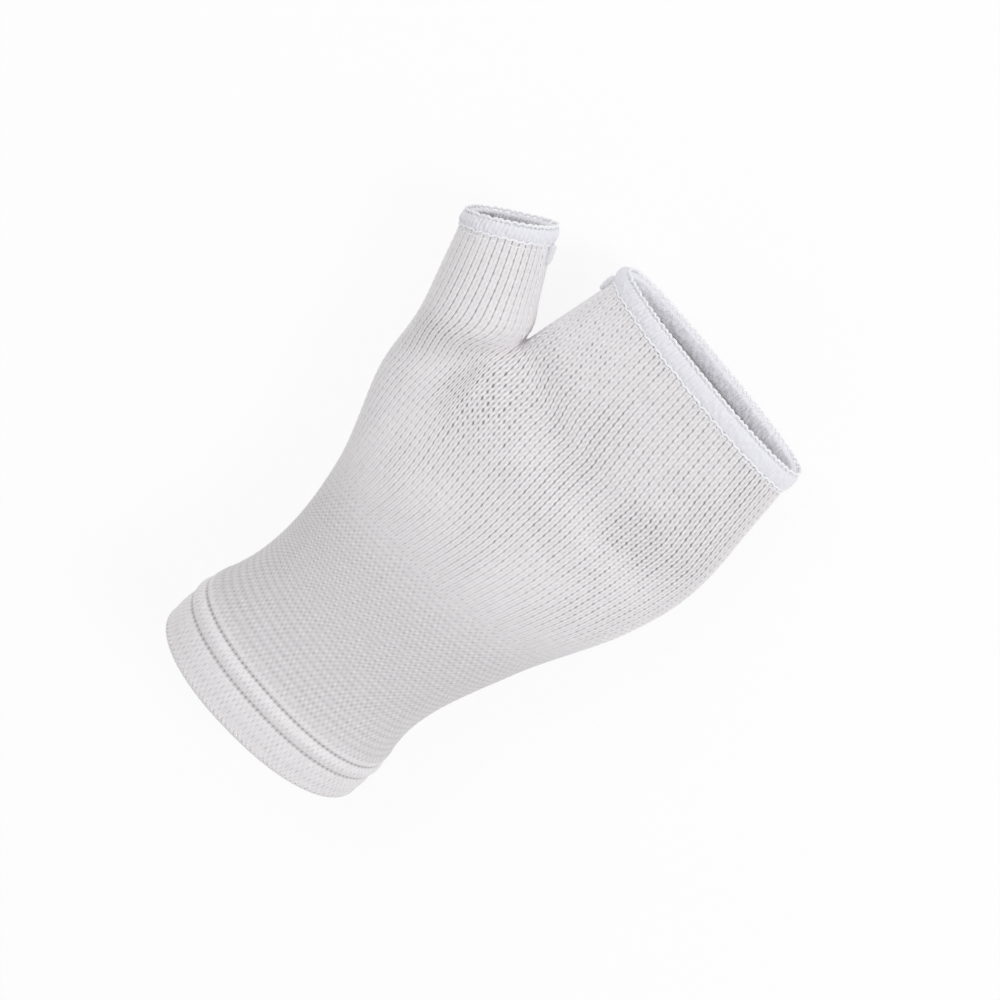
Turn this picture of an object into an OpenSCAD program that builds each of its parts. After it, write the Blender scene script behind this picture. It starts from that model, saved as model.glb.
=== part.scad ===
// Palm and wrist support sleeve with a thumb stall: one knitted elastic tube that
// forks into a finger opening and a thumb opening.  It lies on its back, palm up.
// X runs from the wrist to the fingers, Y to the thumb side, Z up out of the palm.
// All lengths are in millimetres.

/* [Wrist end] */
// Width of the sleeve at the wrist hem
hem_width = 63; // [58:0.5:70]
// Height of the sleeve at the wrist hem, back to palm side
hem_depth = 41; // [36:0.5:46]
// How much further back the hem reaches on the thumb side than on the other
hem_slant = 7; // [0:0.5:12]
// How far the palm side of the hem bellies back past its two ends
hem_belly = 2.5; // [0:0.5:6]
// Width where the sleeve leaves the double hem
cuff_width = 62; // [58:0.5:68]
// Width at the narrowest place of the wrist
wrist_width = 58; // [52:0.5:64]
// Height at the narrowest place of the wrist
wrist_depth = 37.5; // [33:0.5:42]

/* [Lengths] */
// Hem edge to the narrowest place of the wrist
wrist_run = 23; // [18:0.5:30]
// Narrowest place of the wrist to the heel of the hand
heel_run = 32; // [26:0.5:40]
// Heel of the hand to the middle of the palm
palm_run = 26; // [22:0.5:32]
// Middle of the palm to the fork between thumb and fingers
fork_run = 28; // [24:0.5:34]
// Fork to the finger opening
finger_run = 30; // [22:0.5:40]
// Root of the thumb stall to the thumb opening
thumb_run = 26; // [18:0.5:36]

/* [Hand] */
// Width across the heel of the hand
heel_width = 67.5; // [62:0.5:74]
// Height at the heel of the hand
heel_depth = 35.5; // [30:0.5:40]
// Width across the palm and the ball of the thumb
palm_width = 87; // [80:0.5:95]
// Height across the palm and the ball of the thumb
palm_depth = 33; // [30:0.5:38]
// Distance of the fork from the wrist's centre line, towards the thumb
fork_offset = 27.5; // [24:0.5:31]
// Width of the finger part at the fork
knuckle_width = 71; // [66:0.5:76]
// Height of the finger part at the fork
knuckle_depth = 28.5; // [24:0.5:32]
// Width of the finger opening
finger_mouth_width = 61.5; // [58:0.5:68]
// Height of the finger opening
finger_mouth_depth = 24.5; // [20:0.5:28]

/* [Thumb] */
// Width of the thumb stall at the fork
thumb_root_width = 25.8; // [23:0.2:29]
// Height of the thumb stall at the fork
thumb_root_depth = 25; // [22:0.5:28]
// Width of the thumb opening
thumb_mouth_width = 21; // [18.5:0.5:24]
// Height of the thumb opening
thumb_mouth_depth = 20; // [18:0.5:23]
// Angle of the thumb stall from the finger direction, in degrees
thumb_angle = 30; // [24:1:36]
// Height of the thumb opening's underside above the surface that the back lies on
thumb_lift = 10; // [8:0.5:14]

/* [Fabric] */
// Thickness of the stretched knit
knit_wall = 1.4; // [1:0.1:1.8]
// Depth of the turned-in wrist hem
hem_height = 14; // [11:0.5:17]
// Distance of the first hem stitch row from the hem edge
hem_row_1 = 7.5; // [6:0.25:8.5]
// Distance between the two hem stitch rows
hem_row_gap = 4.5; // [3:0.25:6]
// Diameter of the sewing thread in the hem rows and beside the edgings
thread = 0.7; // [0.4:0.05:0.9]
// Running clearance between layers that lie on each other
layer_gap = 0.2; // [0.15:0.05:0.3]

/* [Overlocked edges] */
// Width of the overlocked band on the finger and thumb openings
edging_width = 4.4; // [3.6:0.1:5.2]
// Thickness of the wrapped looper threads on each face of the knit
edging_wrap = 0.7; // [0.5:0.05:0.9]
// Distance from one overlock stitch to the next
edging_pitch = 2.0; // [1.8:0.1:3]
// Depth of the notch between two overlock stitches
edging_scallop = 0.35; // [0.1:0.05:0.4]

/* [Fork seam] */
// Height of the seam allowance that stands inward at the fork
seam_height = 3.5; // [2.5:0.1:4]
// Thickness of the two layers and their overlock stitches
seam_thickness = 2.0; // [1.6:0.1:2.4]
// Length of the sewn-down seam end beside each opening
tack_length = 5; // [3.5:0.5:7]
// Thickness of a sewn-down seam end
tack_thickness = 2; // [1.6:0.1:2.4]

/* [Elastic yarn] */
// Number of inlaid elastic yarns modelled round the wrist
elastic_count = 8; // [4:1:9]
// Distance from one modelled elastic yarn to the next
elastic_pitch = 3.7; // [2.5:0.1:4]
// Diameter of an elastic yarn
elastic_diameter = 0.6; // [0.4:0.05:0.8]

/* [Hidden] */

// Roundness of the section: 2 is an ellipse, more is squarer
palm_round = 2.2;
back_round = 2.7;
// Share of the height at which the two side edges run
side_level = 0.48;
// Angle along the section at which the fork's wale runs, and its share of the width
fork_angle = 121;
bow_peak = 0.72;
// Facets round the finger part and round the thumb part, on each face
finger_steps = 18;
thumb_steps = 9;
face_steps = finger_steps + thumb_steps;
ring_steps = 2 * face_steps;

// Places along the sleeve, from the hem edge.  The cuff ends inside the double hem.
cuff_overlap = 2;
cuff_at = hem_height - cuff_overlap;
wrist_at = wrist_run;
heel_at = wrist_at + heel_run;
palm_at = heel_at + palm_run;
fork_at = palm_at + fork_run;
// The web between thumb and palm closes over this length before the fork
web_run = 0.85 * fork_run;
// The fork of the inner face lies this many wall thicknesses behind the outer one
fork_setback = 1.15;

// Fork point, and the outer edges of the ring that passes through it
fork = [fork_at, fork_offset];
ulnar_setback = 1.8;
thumb_root_angle = thumb_angle - 1;
thumb_mouth_angle = thumb_angle + 9;
ulnar_root = fork - [ulnar_setback, knuckle_width];
thumb_root = fork + thumb_root_width * [-sin(thumb_root_angle), cos(thumb_root_angle)];

// Centre and edges of the two openings
finger_shift = -5.7;
finger_slant = 1.5;
finger_mouth = [fork_at + finger_run, finger_shift];
finger_half = [finger_slant / 2, -finger_mouth_width / 2];
thumb_mouth = (fork + thumb_root) / 2 + thumb_run * [cos(thumb_angle), sin(thumb_angle)];
thumb_half = thumb_mouth_width / 2 * [-sin(thumb_mouth_angle), cos(thumb_mouth_angle)];

// Clear heights of the back above the surface that it lies on
hem_lift = 0;
cuff_lift = 1.8;
wrist_lift = 1.2;
heel_lift = 1;
palm_lift = 0.3;
knuckle_lift = 0.2;
finger_mouth_lift = 1.6;
thumb_root_lift = 6.5;

// How the sections differ from plain ones: shift towards the thumb, slant of the thumb side
// towards the hem, bow of the middle towards the fingers, and raised thumb side
hem_shift = -0.7;
palm_shift = 1.4;
cuff_slant = 0.6 * hem_slant;
wrist_slant = 2;
palm_slant = 6;
heel_bow = 1;
palm_bow = 4;
heel_raise = 0.5;
palm_raise = 4;
// The cuff's palm side lies lower than the hem's, and the fork's wale higher than the knuckles
cuff_drop = 2;
fork_crown = 2;

// One section across the trunk: [ulnar xy, radial xy, bow, top, bottom, ulnar z, radial z]
function section(at, width, shift, slant, bow, depth, lift, raise) =
    [[at + slant / 2, shift - width / 2], [at - slant / 2, shift + width / 2], bow,
     lift + depth, lift, lift + side_level * depth, lift + side_level * depth + raise];

fork_share = (fork.y - ulnar_root.y) / (thumb_root.y - ulnar_root.y);
fork_bow = fork.x - ulnar_root.x - (thumb_root.x - ulnar_root.x) * fork_share;
trunk_runs = [0, cuff_at, wrist_at, heel_at, palm_at, fork_at];
trunk = [
    section(0, hem_width, hem_shift, hem_slant, 0, hem_depth, hem_lift, 0),
    section(cuff_at, cuff_width, 0, cuff_slant, 0, hem_depth - cuff_drop, cuff_lift, 0),
    section(wrist_at, wrist_width, 0, wrist_slant, 0, wrist_depth, wrist_lift, 0),
    section(heel_at, heel_width, 0, wrist_slant, heel_bow, heel_depth, heel_lift, heel_raise),
    section(palm_at, palm_width, palm_shift, palm_slant, palm_bow, palm_depth, palm_lift,
            palm_raise),
    [ulnar_root, thumb_root, fork_bow, knuckle_lift + knuckle_depth + fork_crown, knuckle_lift,
     knuckle_lift + side_level * knuckle_depth, thumb_root_lift + thumb_root_depth / 2]
];

// A limb's own stations: [outer xy, inner xy, top, bottom, outer z, inner z]
web_share = 0.54;
web_level = knuckle_lift + web_share * knuckle_depth;
finger_root = [ulnar_root, fork, knuckle_lift + knuckle_depth, knuckle_lift,
               knuckle_lift + side_level * knuckle_depth, web_level];
finger_end = [finger_mouth + finger_half, finger_mouth - finger_half,
              finger_mouth_lift + finger_mouth_depth, finger_mouth_lift,
              finger_mouth_lift + side_level * finger_mouth_depth,
              finger_mouth_lift + side_level * finger_mouth_depth];
thumb_base = [thumb_root, fork, thumb_root_lift + thumb_root_depth, thumb_root_lift,
              thumb_root_lift + thumb_root_depth / 2, web_level];
thumb_end = [thumb_mouth + thumb_half, thumb_mouth - thumb_half, thumb_lift + thumb_mouth_depth,
             thumb_lift, thumb_lift + thumb_mouth_depth / 2, thumb_lift + thumb_mouth_depth / 2];

function mix(a, b, t) = a + (b - a) * t;
function mix_rows(a, b, t) = [for (n = [0:len(a) - 1]) mix(a[n], b[n], t)];
function unit(v) = v / norm(v);
function column(rows, n) = [for (row = rows) row[n]];

// Smooth curve through values at uneven places, straight beyond both ends
function slope(places, values, n) =
    let (last = len(places) - 1)
    n == 0 ? (values[1] - values[0]) / (places[1] - places[0]) :
    n == last ? (values[last] - values[last - 1]) / (places[last] - places[last - 1]) :
    let (before = places[n] - places[n - 1], after = places[n + 1] - places[n])
    ((values[n] - values[n - 1]) / before * after + (values[n + 1] - values[n]) / after * before)
    / (before + after);
function interval(places, at, n = 0) =
    n >= len(places) - 2 || at < places[n + 1] ? n : interval(places, at, n + 1);
function smooth(places, values, at) =
    at < places[0] ? values[0] + slope(places, values, 0) * (at - places[0]) :
    let (last = len(places) - 1)
    at > places[last] ? values[last] + slope(places, values, last) * (at - places[last]) :
    let (n = interval(places, at), span = places[n + 1] - places[n], t = (at - places[n]) / span)
    values[n] * (1 + 2 * t) * (1 - t) * (1 - t) + values[n + 1] * t * t * (3 - 2 * t)
    + slope(places, values, n) * span * t * (1 - t) * (1 - t)
    + slope(places, values, n + 1) * span * t * t * (t - 1);

// Each limb's stations lie just past the fork, halfway and at its opening
limb_places = [0, 0.06, 0.5, 1];
finger_rows = [for (t = limb_places) mix_rows(finger_root, finger_end, t)];
thumb_rows = [for (t = limb_places) mix_rows(thumb_base, thumb_end, t)];
finger_runs = limb_places * finger_run;
thumb_runs = limb_places * thumb_run;

// The two outer edges run on without a break from the trunk into the limbs
ulnar_places = concat(trunk_runs, [fork_at + finger_runs[2], fork_at + finger_runs[3]]);
ulnar_edge = concat(column(trunk, 0), [finger_rows[2][0], finger_rows[3][0]]);
radial_places = concat(trunk_runs, [fork_at + thumb_runs[2], fork_at + thumb_runs[3]]);
radial_edge = concat(column(trunk, 1), [thumb_rows[2][0], thumb_rows[3][0]]);

// Half of a closed section, from its outer to its inner edge, over the palm or the back
function signed_power(v, p) = sign(v) * pow(abs(v), p);
function lobe(row, face, angle, bow) =
    let (power = 2 / (face > 0 ? palm_round : back_round),
         share = (1 - signed_power(cos(angle), power)) / 2,
         rise = pow(abs(sin(angle)), power),
         level = mix(row[4], row[5], share),
         plan = mix(row[0], row[1], share),
         side = share < bow_peak ? (bow_peak - share) / bow_peak
                                 : (share - bow_peak) / (1 - bow_peak))
    [plan.x + bow * (1 - side * side), plan.y, mix(level, face > 0 ? row[2] : row[3], rise)];

// A section row drawn in by the inset: both edges towards each other, top and bottom inward
function drawn_in(row, inset, inner_inset) =
    let (across = unit(row[1] - row[0]))
    [row[0] + inset * across, row[1] - inner_inset * across, row[2] - inset, row[3] + inset,
     row[4], row[5]];

// Trunk: step counts along one face from the ulnar to the radial edge
function single_row(at) =
    [smooth(ulnar_places, ulnar_edge, at), smooth(radial_places, radial_edge, at),
     smooth(trunk_runs, column(trunk, 3), at), smooth(trunk_runs, column(trunk, 4), at),
     smooth(trunk_runs, column(trunk, 5), at), smooth(trunk_runs, column(trunk, 6), at)];
function step_angle(step) =
    step <= finger_steps ? fork_angle * step / finger_steps
    : fork_angle + (180 - fork_angle) * (step - finger_steps) / thumb_steps;
function single(at, step, face, inset) =
    lobe(drawn_in(single_row(at), inset, inset), face, step_angle(step),
         smooth(trunk_runs, column(trunk, 2), at));
function forked(step, face, inset) =
    let (setback = [fork_setback * inset, 0, 0])
    (step <= finger_steps
        ? lobe(drawn_in(finger_root, inset, 0), face, 180 * step / finger_steps, 0)
        : lobe(drawn_in(thumb_base, inset, 0), face,
               180 - 180 * (step - finger_steps) / thumb_steps, 0)) - setback;
// Plain section near the wrist, two lobes at the fork, and a rounded web between
function trunk_point(at, step, face, inset) =
    let (along = min(1, max(0, at - (fork_at - web_run)) / web_run),
         far = abs(step - finger_steps) / (step < finger_steps ? finger_steps : thumb_steps),
         closing = mix(1 - sqrt(1 - pow(along, 3)), along * along * (3 - 2 * along),
                       1 - pow(1 - far, 3)),
         plain = single(at, step, face, inset),
         shift = plain - single(fork_at, step, face, inset))
    closing <= 0 ? plain
    : mix(plain, forked(step, face, inset) + [shift.x, shift.y, 0], closing);

// Limbs: angle 0 is the outer edge and 180 the fork side.  All rings turn the same way, so a
// finger ring crosses the palm first and a thumb ring the back first.
function face_of(angle) = angle <= 180 ? 1 : -1;
function half_angle(angle) = angle <= 180 ? angle : 360 - angle;
function limb_row(edge, runs, rows, at) =
    [edge, smooth(runs, column(rows, 1), at), smooth(runs, column(rows, 2), at),
     smooth(runs, column(rows, 3), at), smooth(runs, column(rows, 4), at),
     smooth(runs, column(rows, 5), at)];
function finger_point(at, angle, inset) =
    let (row = limb_row(smooth(ulnar_places, ulnar_edge, fork_at + at), finger_runs,
                        finger_rows, at))
    lobe(drawn_in(row, inset, inset), face_of(angle), half_angle(angle), 0);
function thumb_point(at, angle, inset) =
    let (row = limb_row(smooth(radial_places, radial_edge, fork_at + at), thumb_runs,
                        thumb_rows, at))
    lobe(drawn_in(row, inset, inset), -face_of(angle), half_angle(angle), 0);

// Points round the three openings: depth counts from the edge into the sleeve
function belly(depth, angle) = hem_belly * max(0, sin(angle)) * exp(-max(0, depth) / cuff_at);
function hem_point(depth, angle, inset) =
    let (half = half_angle(angle),
         step = half < fork_angle ? finger_steps * half / fork_angle
              : finger_steps + thumb_steps * (half - fork_angle) / (180 - fork_angle))
    trunk_point(depth, step, face_of(angle), inset) - [belly(depth, angle), 0, 0];
function finger_mouth_point(depth, angle, inset) = finger_point(finger_run - depth, angle, inset);
function thumb_mouth_point(depth, angle, inset) = thumb_point(thumb_run - depth, angle, inset);

// Angles at equal distances round an opening
function running_sum(v, n = 0, total = 0) =
    n >= len(v) ? [total] : concat([total], running_sum(v, n + 1, total + v[n]));
function even_angles(outline, count) =
    let (gaps = [for (n = [0:len(outline) - 1])
                 norm(outline[(n + 1) % len(outline)] - outline[n])],
         sums = running_sum(gaps),
         table = [for (n = [0:len(sums) - 1]) [sums[n], 360 * n / len(outline)]],
         total = sums[len(sums) - 1])
    [for (n = [0:count - 1]) lookup(total * n / count, table)];
function outline_length(outline) =
    let (n = len(outline))
    running_sum([for (k = [0:n - 1]) norm(outline[(k + 1) % n] - outline[k])])[n];
outline_angles = [for (n = [0:89]) 4 * n];
finger_outline = [for (angle = outline_angles) finger_mouth_point(0, angle, 0)];
thumb_outline = [for (angle = outline_angles) thumb_mouth_point(0, angle, 0)];
hem_angles = [for (n = [0:ring_steps - 1])
              n <= face_steps ? step_angle(n) : 360 - step_angle(ring_steps - n)];

// Faces of a strip of quads between two closed rows of points, given by their indices
function strip(a, b) =
    [for (k = [0:len(a) - 1]) let (n = (k + 1) % len(a)) each [[a[k], a[n], b[n]], [a[k], b[n], b[k]]]];
function turned(faces) = [for (f = faces) [f[2], f[1], f[0]]];
function backwards(list) = [for (n = [len(list) - 1:-1:0]) list[n]];
function count_from(first, count) = [for (n = [0:count - 1]) first + n];

// A closed ring: rows are cross-sections with the same number of points
module ring_solid(rows) {
    size = len(rows[0]);
    polyhedron([for (row = rows) each row],
               [for (n = [0:len(rows) - 1])
                each strip(count_from(n * size, size), count_from((n + 1) % len(rows) * size, size))],
               convexity = 8);
}

// A solid along an open path, closed at both ends
module path_solid(rows) {
    size = len(rows[0]);
    last = (len(rows) - 1) * size;
    polyhedron([for (row = rows) each row],
               concat([for (n = [0:len(rows) - 2])
                       each strip(count_from(n * size, size), count_from((n + 1) * size, size))],
                      [[for (n = [0:size - 1]) size - 1 - n], count_from(last, size)]),
               convexity = 8);
}

// Rings of the knit, closer together towards the fork, as shares of the runs beside it
fork_gaps = [0.8, 0.6, 0.42, 0.27, 0.15, 0.07, 0.02, 0];
limb_shares = [0.06, 0.18, 0.35, 0.55, 0.78, 1];
trunk_places = concat([0, cuff_at / 3, 2 * cuff_at / 3, cuff_at],
                      [for (n = [1:4]) mix(cuff_at, heel_at, n / 4)],
                      [for (n = [1:2]) mix(heel_at, palm_at, n / 2)],
                      [for (gap = fork_gaps) fork_at - gap * fork_run]);
trunk_rings = len(trunk_places);
limb_rings = len(limb_shares);
finger_ring = 2 * finger_steps;
thumb_ring = 2 * thumb_steps;
fork_angles_finger = [for (n = [0:finger_ring - 1]) 180 * n / finger_steps];
fork_angles_thumb = [for (n = [0:thumb_ring - 1]) 180 + 180 * n / thumb_steps];

// The knit stops short of the cut edge by the thread that wraps round it
edge_stop = edging_wrap + layer_gap;
function ring_point(at, n, inset) =
    (n <= face_steps ? trunk_point(at, n, 1, inset)
                     : trunk_point(at, ring_steps - n, -1, inset))
    - [belly(at, hem_angles[n]), 0, 0];
function skin(inset) = concat(
    [for (at = trunk_places) for (n = [0:ring_steps - 1]) ring_point(at, n, inset)],
    [for (share = limb_shares) for (angle = fork_angles_finger)
        finger_point(share * (finger_run - edge_stop), angle, inset)],
    [for (share = limb_shares) for (angle = fork_angles_thumb)
        thumb_point(share * (thumb_run - edge_stop), angle % 360, inset)]);
skin_size = trunk_rings * ring_steps + limb_rings * (finger_ring + thumb_ring);

// Index rows of the skin.  The fork point is one point that both faces share.
function trunk_row(n, first) =
    [for (k = [0:ring_steps - 1])
        first + n * ring_steps
        + (n == trunk_rings - 1 && k == ring_steps - finger_steps ? finger_steps : k)];
function finger_row(n, first) =
    n < 0 ? let (row = trunk_row(trunk_rings - 1, first))
            concat([for (k = [0:finger_steps]) row[k]],
                   [for (k = [finger_steps + 1:finger_ring - 1]) row[ring_steps - finger_ring + k]])
          : count_from(first + trunk_rings * ring_steps + n * finger_ring, finger_ring);
function thumb_row(n, first) =
    n < 0 ? let (row = trunk_row(trunk_rings - 1, first))
            [for (k = [0:thumb_ring - 1]) row[finger_steps + k]]
          : count_from(first + trunk_rings * ring_steps + limb_rings * finger_ring
                       + n * thumb_ring, thumb_ring);
function skin_faces(first) = concat(
    [for (n = [0:trunk_rings - 2]) each strip(trunk_row(n, first), trunk_row(n + 1, first))],
    [for (n = [-1:limb_rings - 2]) each strip(finger_row(n, first), finger_row(n + 1, first))],
    [for (n = [-1:limb_rings - 2]) each strip(thumb_row(n, first), thumb_row(n + 1, first))]);

sleeve_points = concat(skin(0), skin(knit_wall));

module knit_sleeve() {
    color("gainsboro")
    translate(-origin)
    polyhedron(sleeve_points,
               concat(skin_faces(0), turned(skin_faces(skin_size)),
                      turned(strip(trunk_row(0, 0), trunk_row(0, skin_size))),
                      strip(finger_row(limb_rings - 1, 0), finger_row(limb_rings - 1, skin_size)),
                      strip(thumb_row(limb_rings - 1, 0), thumb_row(limb_rings - 1, skin_size))),
               convexity = 10);
}

// Turned-in hem: the fold at the wrist edge and the second layer inside the sleeve.
// Each pair is a depth into the sleeve and an inset from its outer face.
hem_inner = 2 * knit_wall + layer_gap;
fold_reach = 0.7 * knit_wall;
fold_tuck = 0.25 * knit_wall;
hem_profile = [[hem_height, knit_wall + layer_gap], [hem_height / 2, knit_wall + layer_gap],
               [-layer_gap, knit_wall + layer_gap], [-layer_gap, 0],
               [-fold_reach, fold_tuck], [-knit_wall, hem_inner / 2],
               [-fold_reach, hem_inner - fold_tuck], [0, hem_inner],
               [hem_height / 2, hem_inner], [hem_height, hem_inner]];
hem_rows = [for (angle = hem_angles) [for (p = hem_profile) hem_point(p[0], angle, p[1])]];

module turned_hem() {
    color("whitesmoke")
    translate(-origin)
    ring_solid(hem_rows);
}

// A thread laid on the outer face round the hem, with a diamond section
function thread_profile(depth) =
    let (r = thread / 2, out = -layer_gap - r)
    [[depth - r, out], [depth, out - r], [depth + r, out], [depth, out + r]];
function hem_thread_rows(depth) =
    [for (angle = hem_angles)
        [for (p = backwards(thread_profile(depth))) hem_point(p[0], angle, p[1])]];
outer_row_rows = hem_thread_rows(hem_row_1);

module hem_stitch_row_outer() {
    color("silver")
    translate(-origin)
    ring_solid(outer_row_rows);
}

module hem_stitch_row_inner() {
    color("silver")
    translate(-origin)
    ring_solid(hem_thread_rows(hem_row_1 + hem_row_gap));
}

// Overlock: looper threads wrap the cut edge, a ridge for each stitch and a notch between.
// The pocket between its two faces holds the knit.
crown_start = 0.8 * edging_wrap;
crown_end = 0.6 * edging_width;
function overlock_profile(notch) =
    let (out = layer_gap + edging_wrap - notch, tip = notch / 2, knit = knit_wall + layer_gap)
    [[edging_wrap, -layer_gap], [edging_wrap, knit], [edging_width - notch, knit],
     [crown_end, knit_wall + out], [crown_start, knit_wall + out], [tip, knit_wall / 2],
     [crown_start, -out], [crown_end, -out], [edging_width - notch, -layer_gap]];
function stitch_count(outline) = round(outline_length(outline) / edging_pitch);
function stitch_angles(outline) = even_angles(outline, 2 * stitch_count(outline));
finger_angles = stitch_angles(finger_outline);
thumb_angles = stitch_angles(thumb_outline);
finger_overlock_rows = [for (n = [0:len(finger_angles) - 1])
    [for (p = overlock_profile(n % 2 * edging_scallop))
        finger_mouth_point(p[0], finger_angles[n], p[1])]];
thumb_overlock_rows = [for (n = [0:len(thumb_angles) - 1])
    [for (p = overlock_profile(n % 2 * edging_scallop))
        thumb_mouth_point(p[0], thumb_angles[n], p[1])]];

module finger_edge_overlock() {
    color("ghostwhite")
    translate(-origin)
    ring_solid(finger_overlock_rows);
}

module thumb_edge_overlock() {
    color("ghostwhite")
    translate(-origin)
    ring_solid(thumb_overlock_rows);
}

// Needle thread of each overlock: a line of loops just inside the wrapped band
needle_wave = 0.25;
function needle_depth(n) = edging_width + thread + layer_gap + needle_wave * (n % 2);
finger_needle_rows = [for (n = [0:len(finger_angles) - 1])
    [for (p = thread_profile(needle_depth(n))) finger_mouth_point(p[0], finger_angles[n], p[1])]];
thumb_needle_rows = [for (n = [0:len(thumb_angles) - 1])
    [for (p = thread_profile(needle_depth(n))) thumb_mouth_point(p[0], thumb_angles[n], p[1])]];

module finger_edge_needle_thread() {
    color("white")
    translate(-origin)
    ring_solid(finger_needle_rows);
}

module thumb_edge_needle_thread() {
    color("white")
    translate(-origin)
    ring_solid(thumb_needle_rows);
}

// Fork seam: allowance of the two layers, standing inward along both limbs and round the fork
seam_offset = fork_setback * knit_wall + 2 * layer_gap + seam_height / 2;
seam_end = edging_width + 1;
seam_steps = 7;
function finger_seam_place(share) = finger_point(mix(finger_run - seam_end, 1, share), 180, 0);
function thumb_seam_place(share) = thumb_point(mix(1, thumb_run - seam_end, share), 180, 0);
finger_inward = -90;
thumb_inward = thumb_root_angle + 92;
seam_foot = 0.6;
seam_shoulder = 0.4;
function seam_station(at, heading) =
    let (out = [cos(heading), sin(heading), 0], centre = at + seam_offset * out,
         h = seam_height / 2, t = seam_thickness / 2, foot = centre - h * out,
         shoulder = centre + seam_shoulder * h * out)
    [foot + [0, 0, seam_foot * t], shoulder + [0, 0, t], centre + h * out,
     shoulder - [0, 0, t], foot - [0, 0, seam_foot * t]];
seam_rows = concat(
    [for (n = [0:seam_steps]) seam_station(finger_seam_place(n / seam_steps), finger_inward)],
    [for (n = [1:seam_steps]) seam_station([fork.x, fork.y, web_level],
        mix(finger_inward, thumb_inward - 360, n / (seam_steps + 1)))],
    [for (n = [0:seam_steps]) seam_station(thumb_seam_place(n / seam_steps), thumb_inward)]);

module fork_seam() {
    color("lavender")
    translate(-origin)
    path_solid(seam_rows);
}

// The seam's end is folded back over the knit beside each opening and sewn down flat
module seam_tack(near, far) {
    color("lavender")
    translate(-origin)
    hull() {
        translate(near) sphere(d = tack_thickness, $fn = 12);
        translate(far) sphere(d = tack_thickness, $fn = 12);
    }
}
tack_inset = -layer_gap - tack_thickness / 2;
tack_start = edging_width + 2 * thread + needle_wave + 2 * layer_gap + tack_thickness / 2;
tack_reach = tack_start + tack_length - tack_thickness;

module finger_seam_tack() {
    seam_tack(finger_mouth_point(tack_start, 180, tack_inset),
              finger_mouth_point(tack_reach, 180, tack_inset));
}

module thumb_seam_tack() {
    seam_tack(thumb_mouth_point(tack_start, 180, tack_inset),
              thumb_mouth_point(tack_reach, 180, tack_inset));
}

// Elastic yarns lie against the inner face of the knit, from the hem over the wrist
elastic_steps = 26;
elastic_start = hem_height + layer_gap + elastic_diameter;
elastic_inset = knit_wall + 2 * layer_gap + elastic_diameter / 2;
elastic_angles = even_angles([for (angle = outline_angles) hem_point(elastic_start, angle, 0)],
                             elastic_steps);
function elastic_profile(at) =
    let (r = elastic_diameter / 2)
    [[at, elastic_inset + r], [at + r, elastic_inset], [at, elastic_inset - r],
     [at - r, elastic_inset]];

module elastic_yarns() {
    color("white")
    translate(-origin)
    for (n = [0:elastic_count - 1])
        ring_solid([for (angle = elastic_angles)
                    [for (p = elastic_profile(elastic_start + n * elastic_pitch))
                     hem_point(p[0], angle, p[1])]]);
}

// Origin: the middle of the whole part's plan box, on the surface that its back lies on
all_points = concat(sleeve_points, [for (row = hem_rows) each row],
                    [for (row = outer_row_rows) each row],
                    [for (row = finger_overlock_rows) each row],
                    [for (row = thumb_overlock_rows) each row]);
lowest = [for (n = [0:2]) min(column(all_points, n))];
highest = [for (n = [0:2]) max(column(all_points, n))];
origin = [(lowest.x + highest.x) / 2, (lowest.y + highest.y) / 2, lowest.z];

knit_sleeve();
turned_hem();
hem_stitch_row_outer();
hem_stitch_row_inner();
finger_edge_overlock();
finger_edge_needle_thread();
thumb_edge_overlock();
thumb_edge_needle_thread();
fork_seam();
finger_seam_tack();
thumb_seam_tack();
elastic_yarns();
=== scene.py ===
"""Dresses the palm and wrist support sleeve: knitted cloth, turned hem, overlocked edges and seams.

The sleeve's surface is worked out from the same sizes as the construction, stitch by stitch:
wales run from the wrist hem to the finger and thumb openings, and courses run round the arm.
"""
import math
from functools import cache

import bpy
import numpy as np
from bpy.props import FloatProperty, FloatVectorProperty, IntProperty, PointerProperty
from mathutils import Matrix, Vector


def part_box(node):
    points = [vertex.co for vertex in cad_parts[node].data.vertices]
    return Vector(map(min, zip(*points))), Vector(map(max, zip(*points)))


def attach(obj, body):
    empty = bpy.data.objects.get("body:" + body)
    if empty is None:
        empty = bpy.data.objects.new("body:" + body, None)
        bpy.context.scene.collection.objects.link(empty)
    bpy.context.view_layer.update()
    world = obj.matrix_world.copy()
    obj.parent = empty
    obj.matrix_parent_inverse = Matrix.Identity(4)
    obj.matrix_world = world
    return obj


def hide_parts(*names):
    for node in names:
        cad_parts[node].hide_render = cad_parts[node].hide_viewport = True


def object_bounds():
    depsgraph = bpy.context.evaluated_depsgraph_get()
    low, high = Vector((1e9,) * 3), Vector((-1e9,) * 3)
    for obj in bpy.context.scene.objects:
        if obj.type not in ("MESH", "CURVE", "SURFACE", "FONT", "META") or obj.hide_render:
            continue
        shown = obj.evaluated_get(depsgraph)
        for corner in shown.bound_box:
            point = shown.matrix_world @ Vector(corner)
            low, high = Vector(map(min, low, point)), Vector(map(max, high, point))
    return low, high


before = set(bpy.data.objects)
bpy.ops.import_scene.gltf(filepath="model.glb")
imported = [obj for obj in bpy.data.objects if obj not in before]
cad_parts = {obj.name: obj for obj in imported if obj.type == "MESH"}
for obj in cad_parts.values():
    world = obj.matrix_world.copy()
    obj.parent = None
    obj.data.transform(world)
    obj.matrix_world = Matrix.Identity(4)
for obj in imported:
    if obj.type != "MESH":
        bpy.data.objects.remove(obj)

bl_info = {
    "name": "Knitted wrist sleeve",
    "version": (1, 0, 0),
    "blender": (4, 5, 0),
    "location": "View3D > Sidebar > Sleeve",
    "description": "Builds the cloth, stitching and stage of a knitted palm and wrist sleeve",
    "category": "Add Mesh",
}

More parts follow.
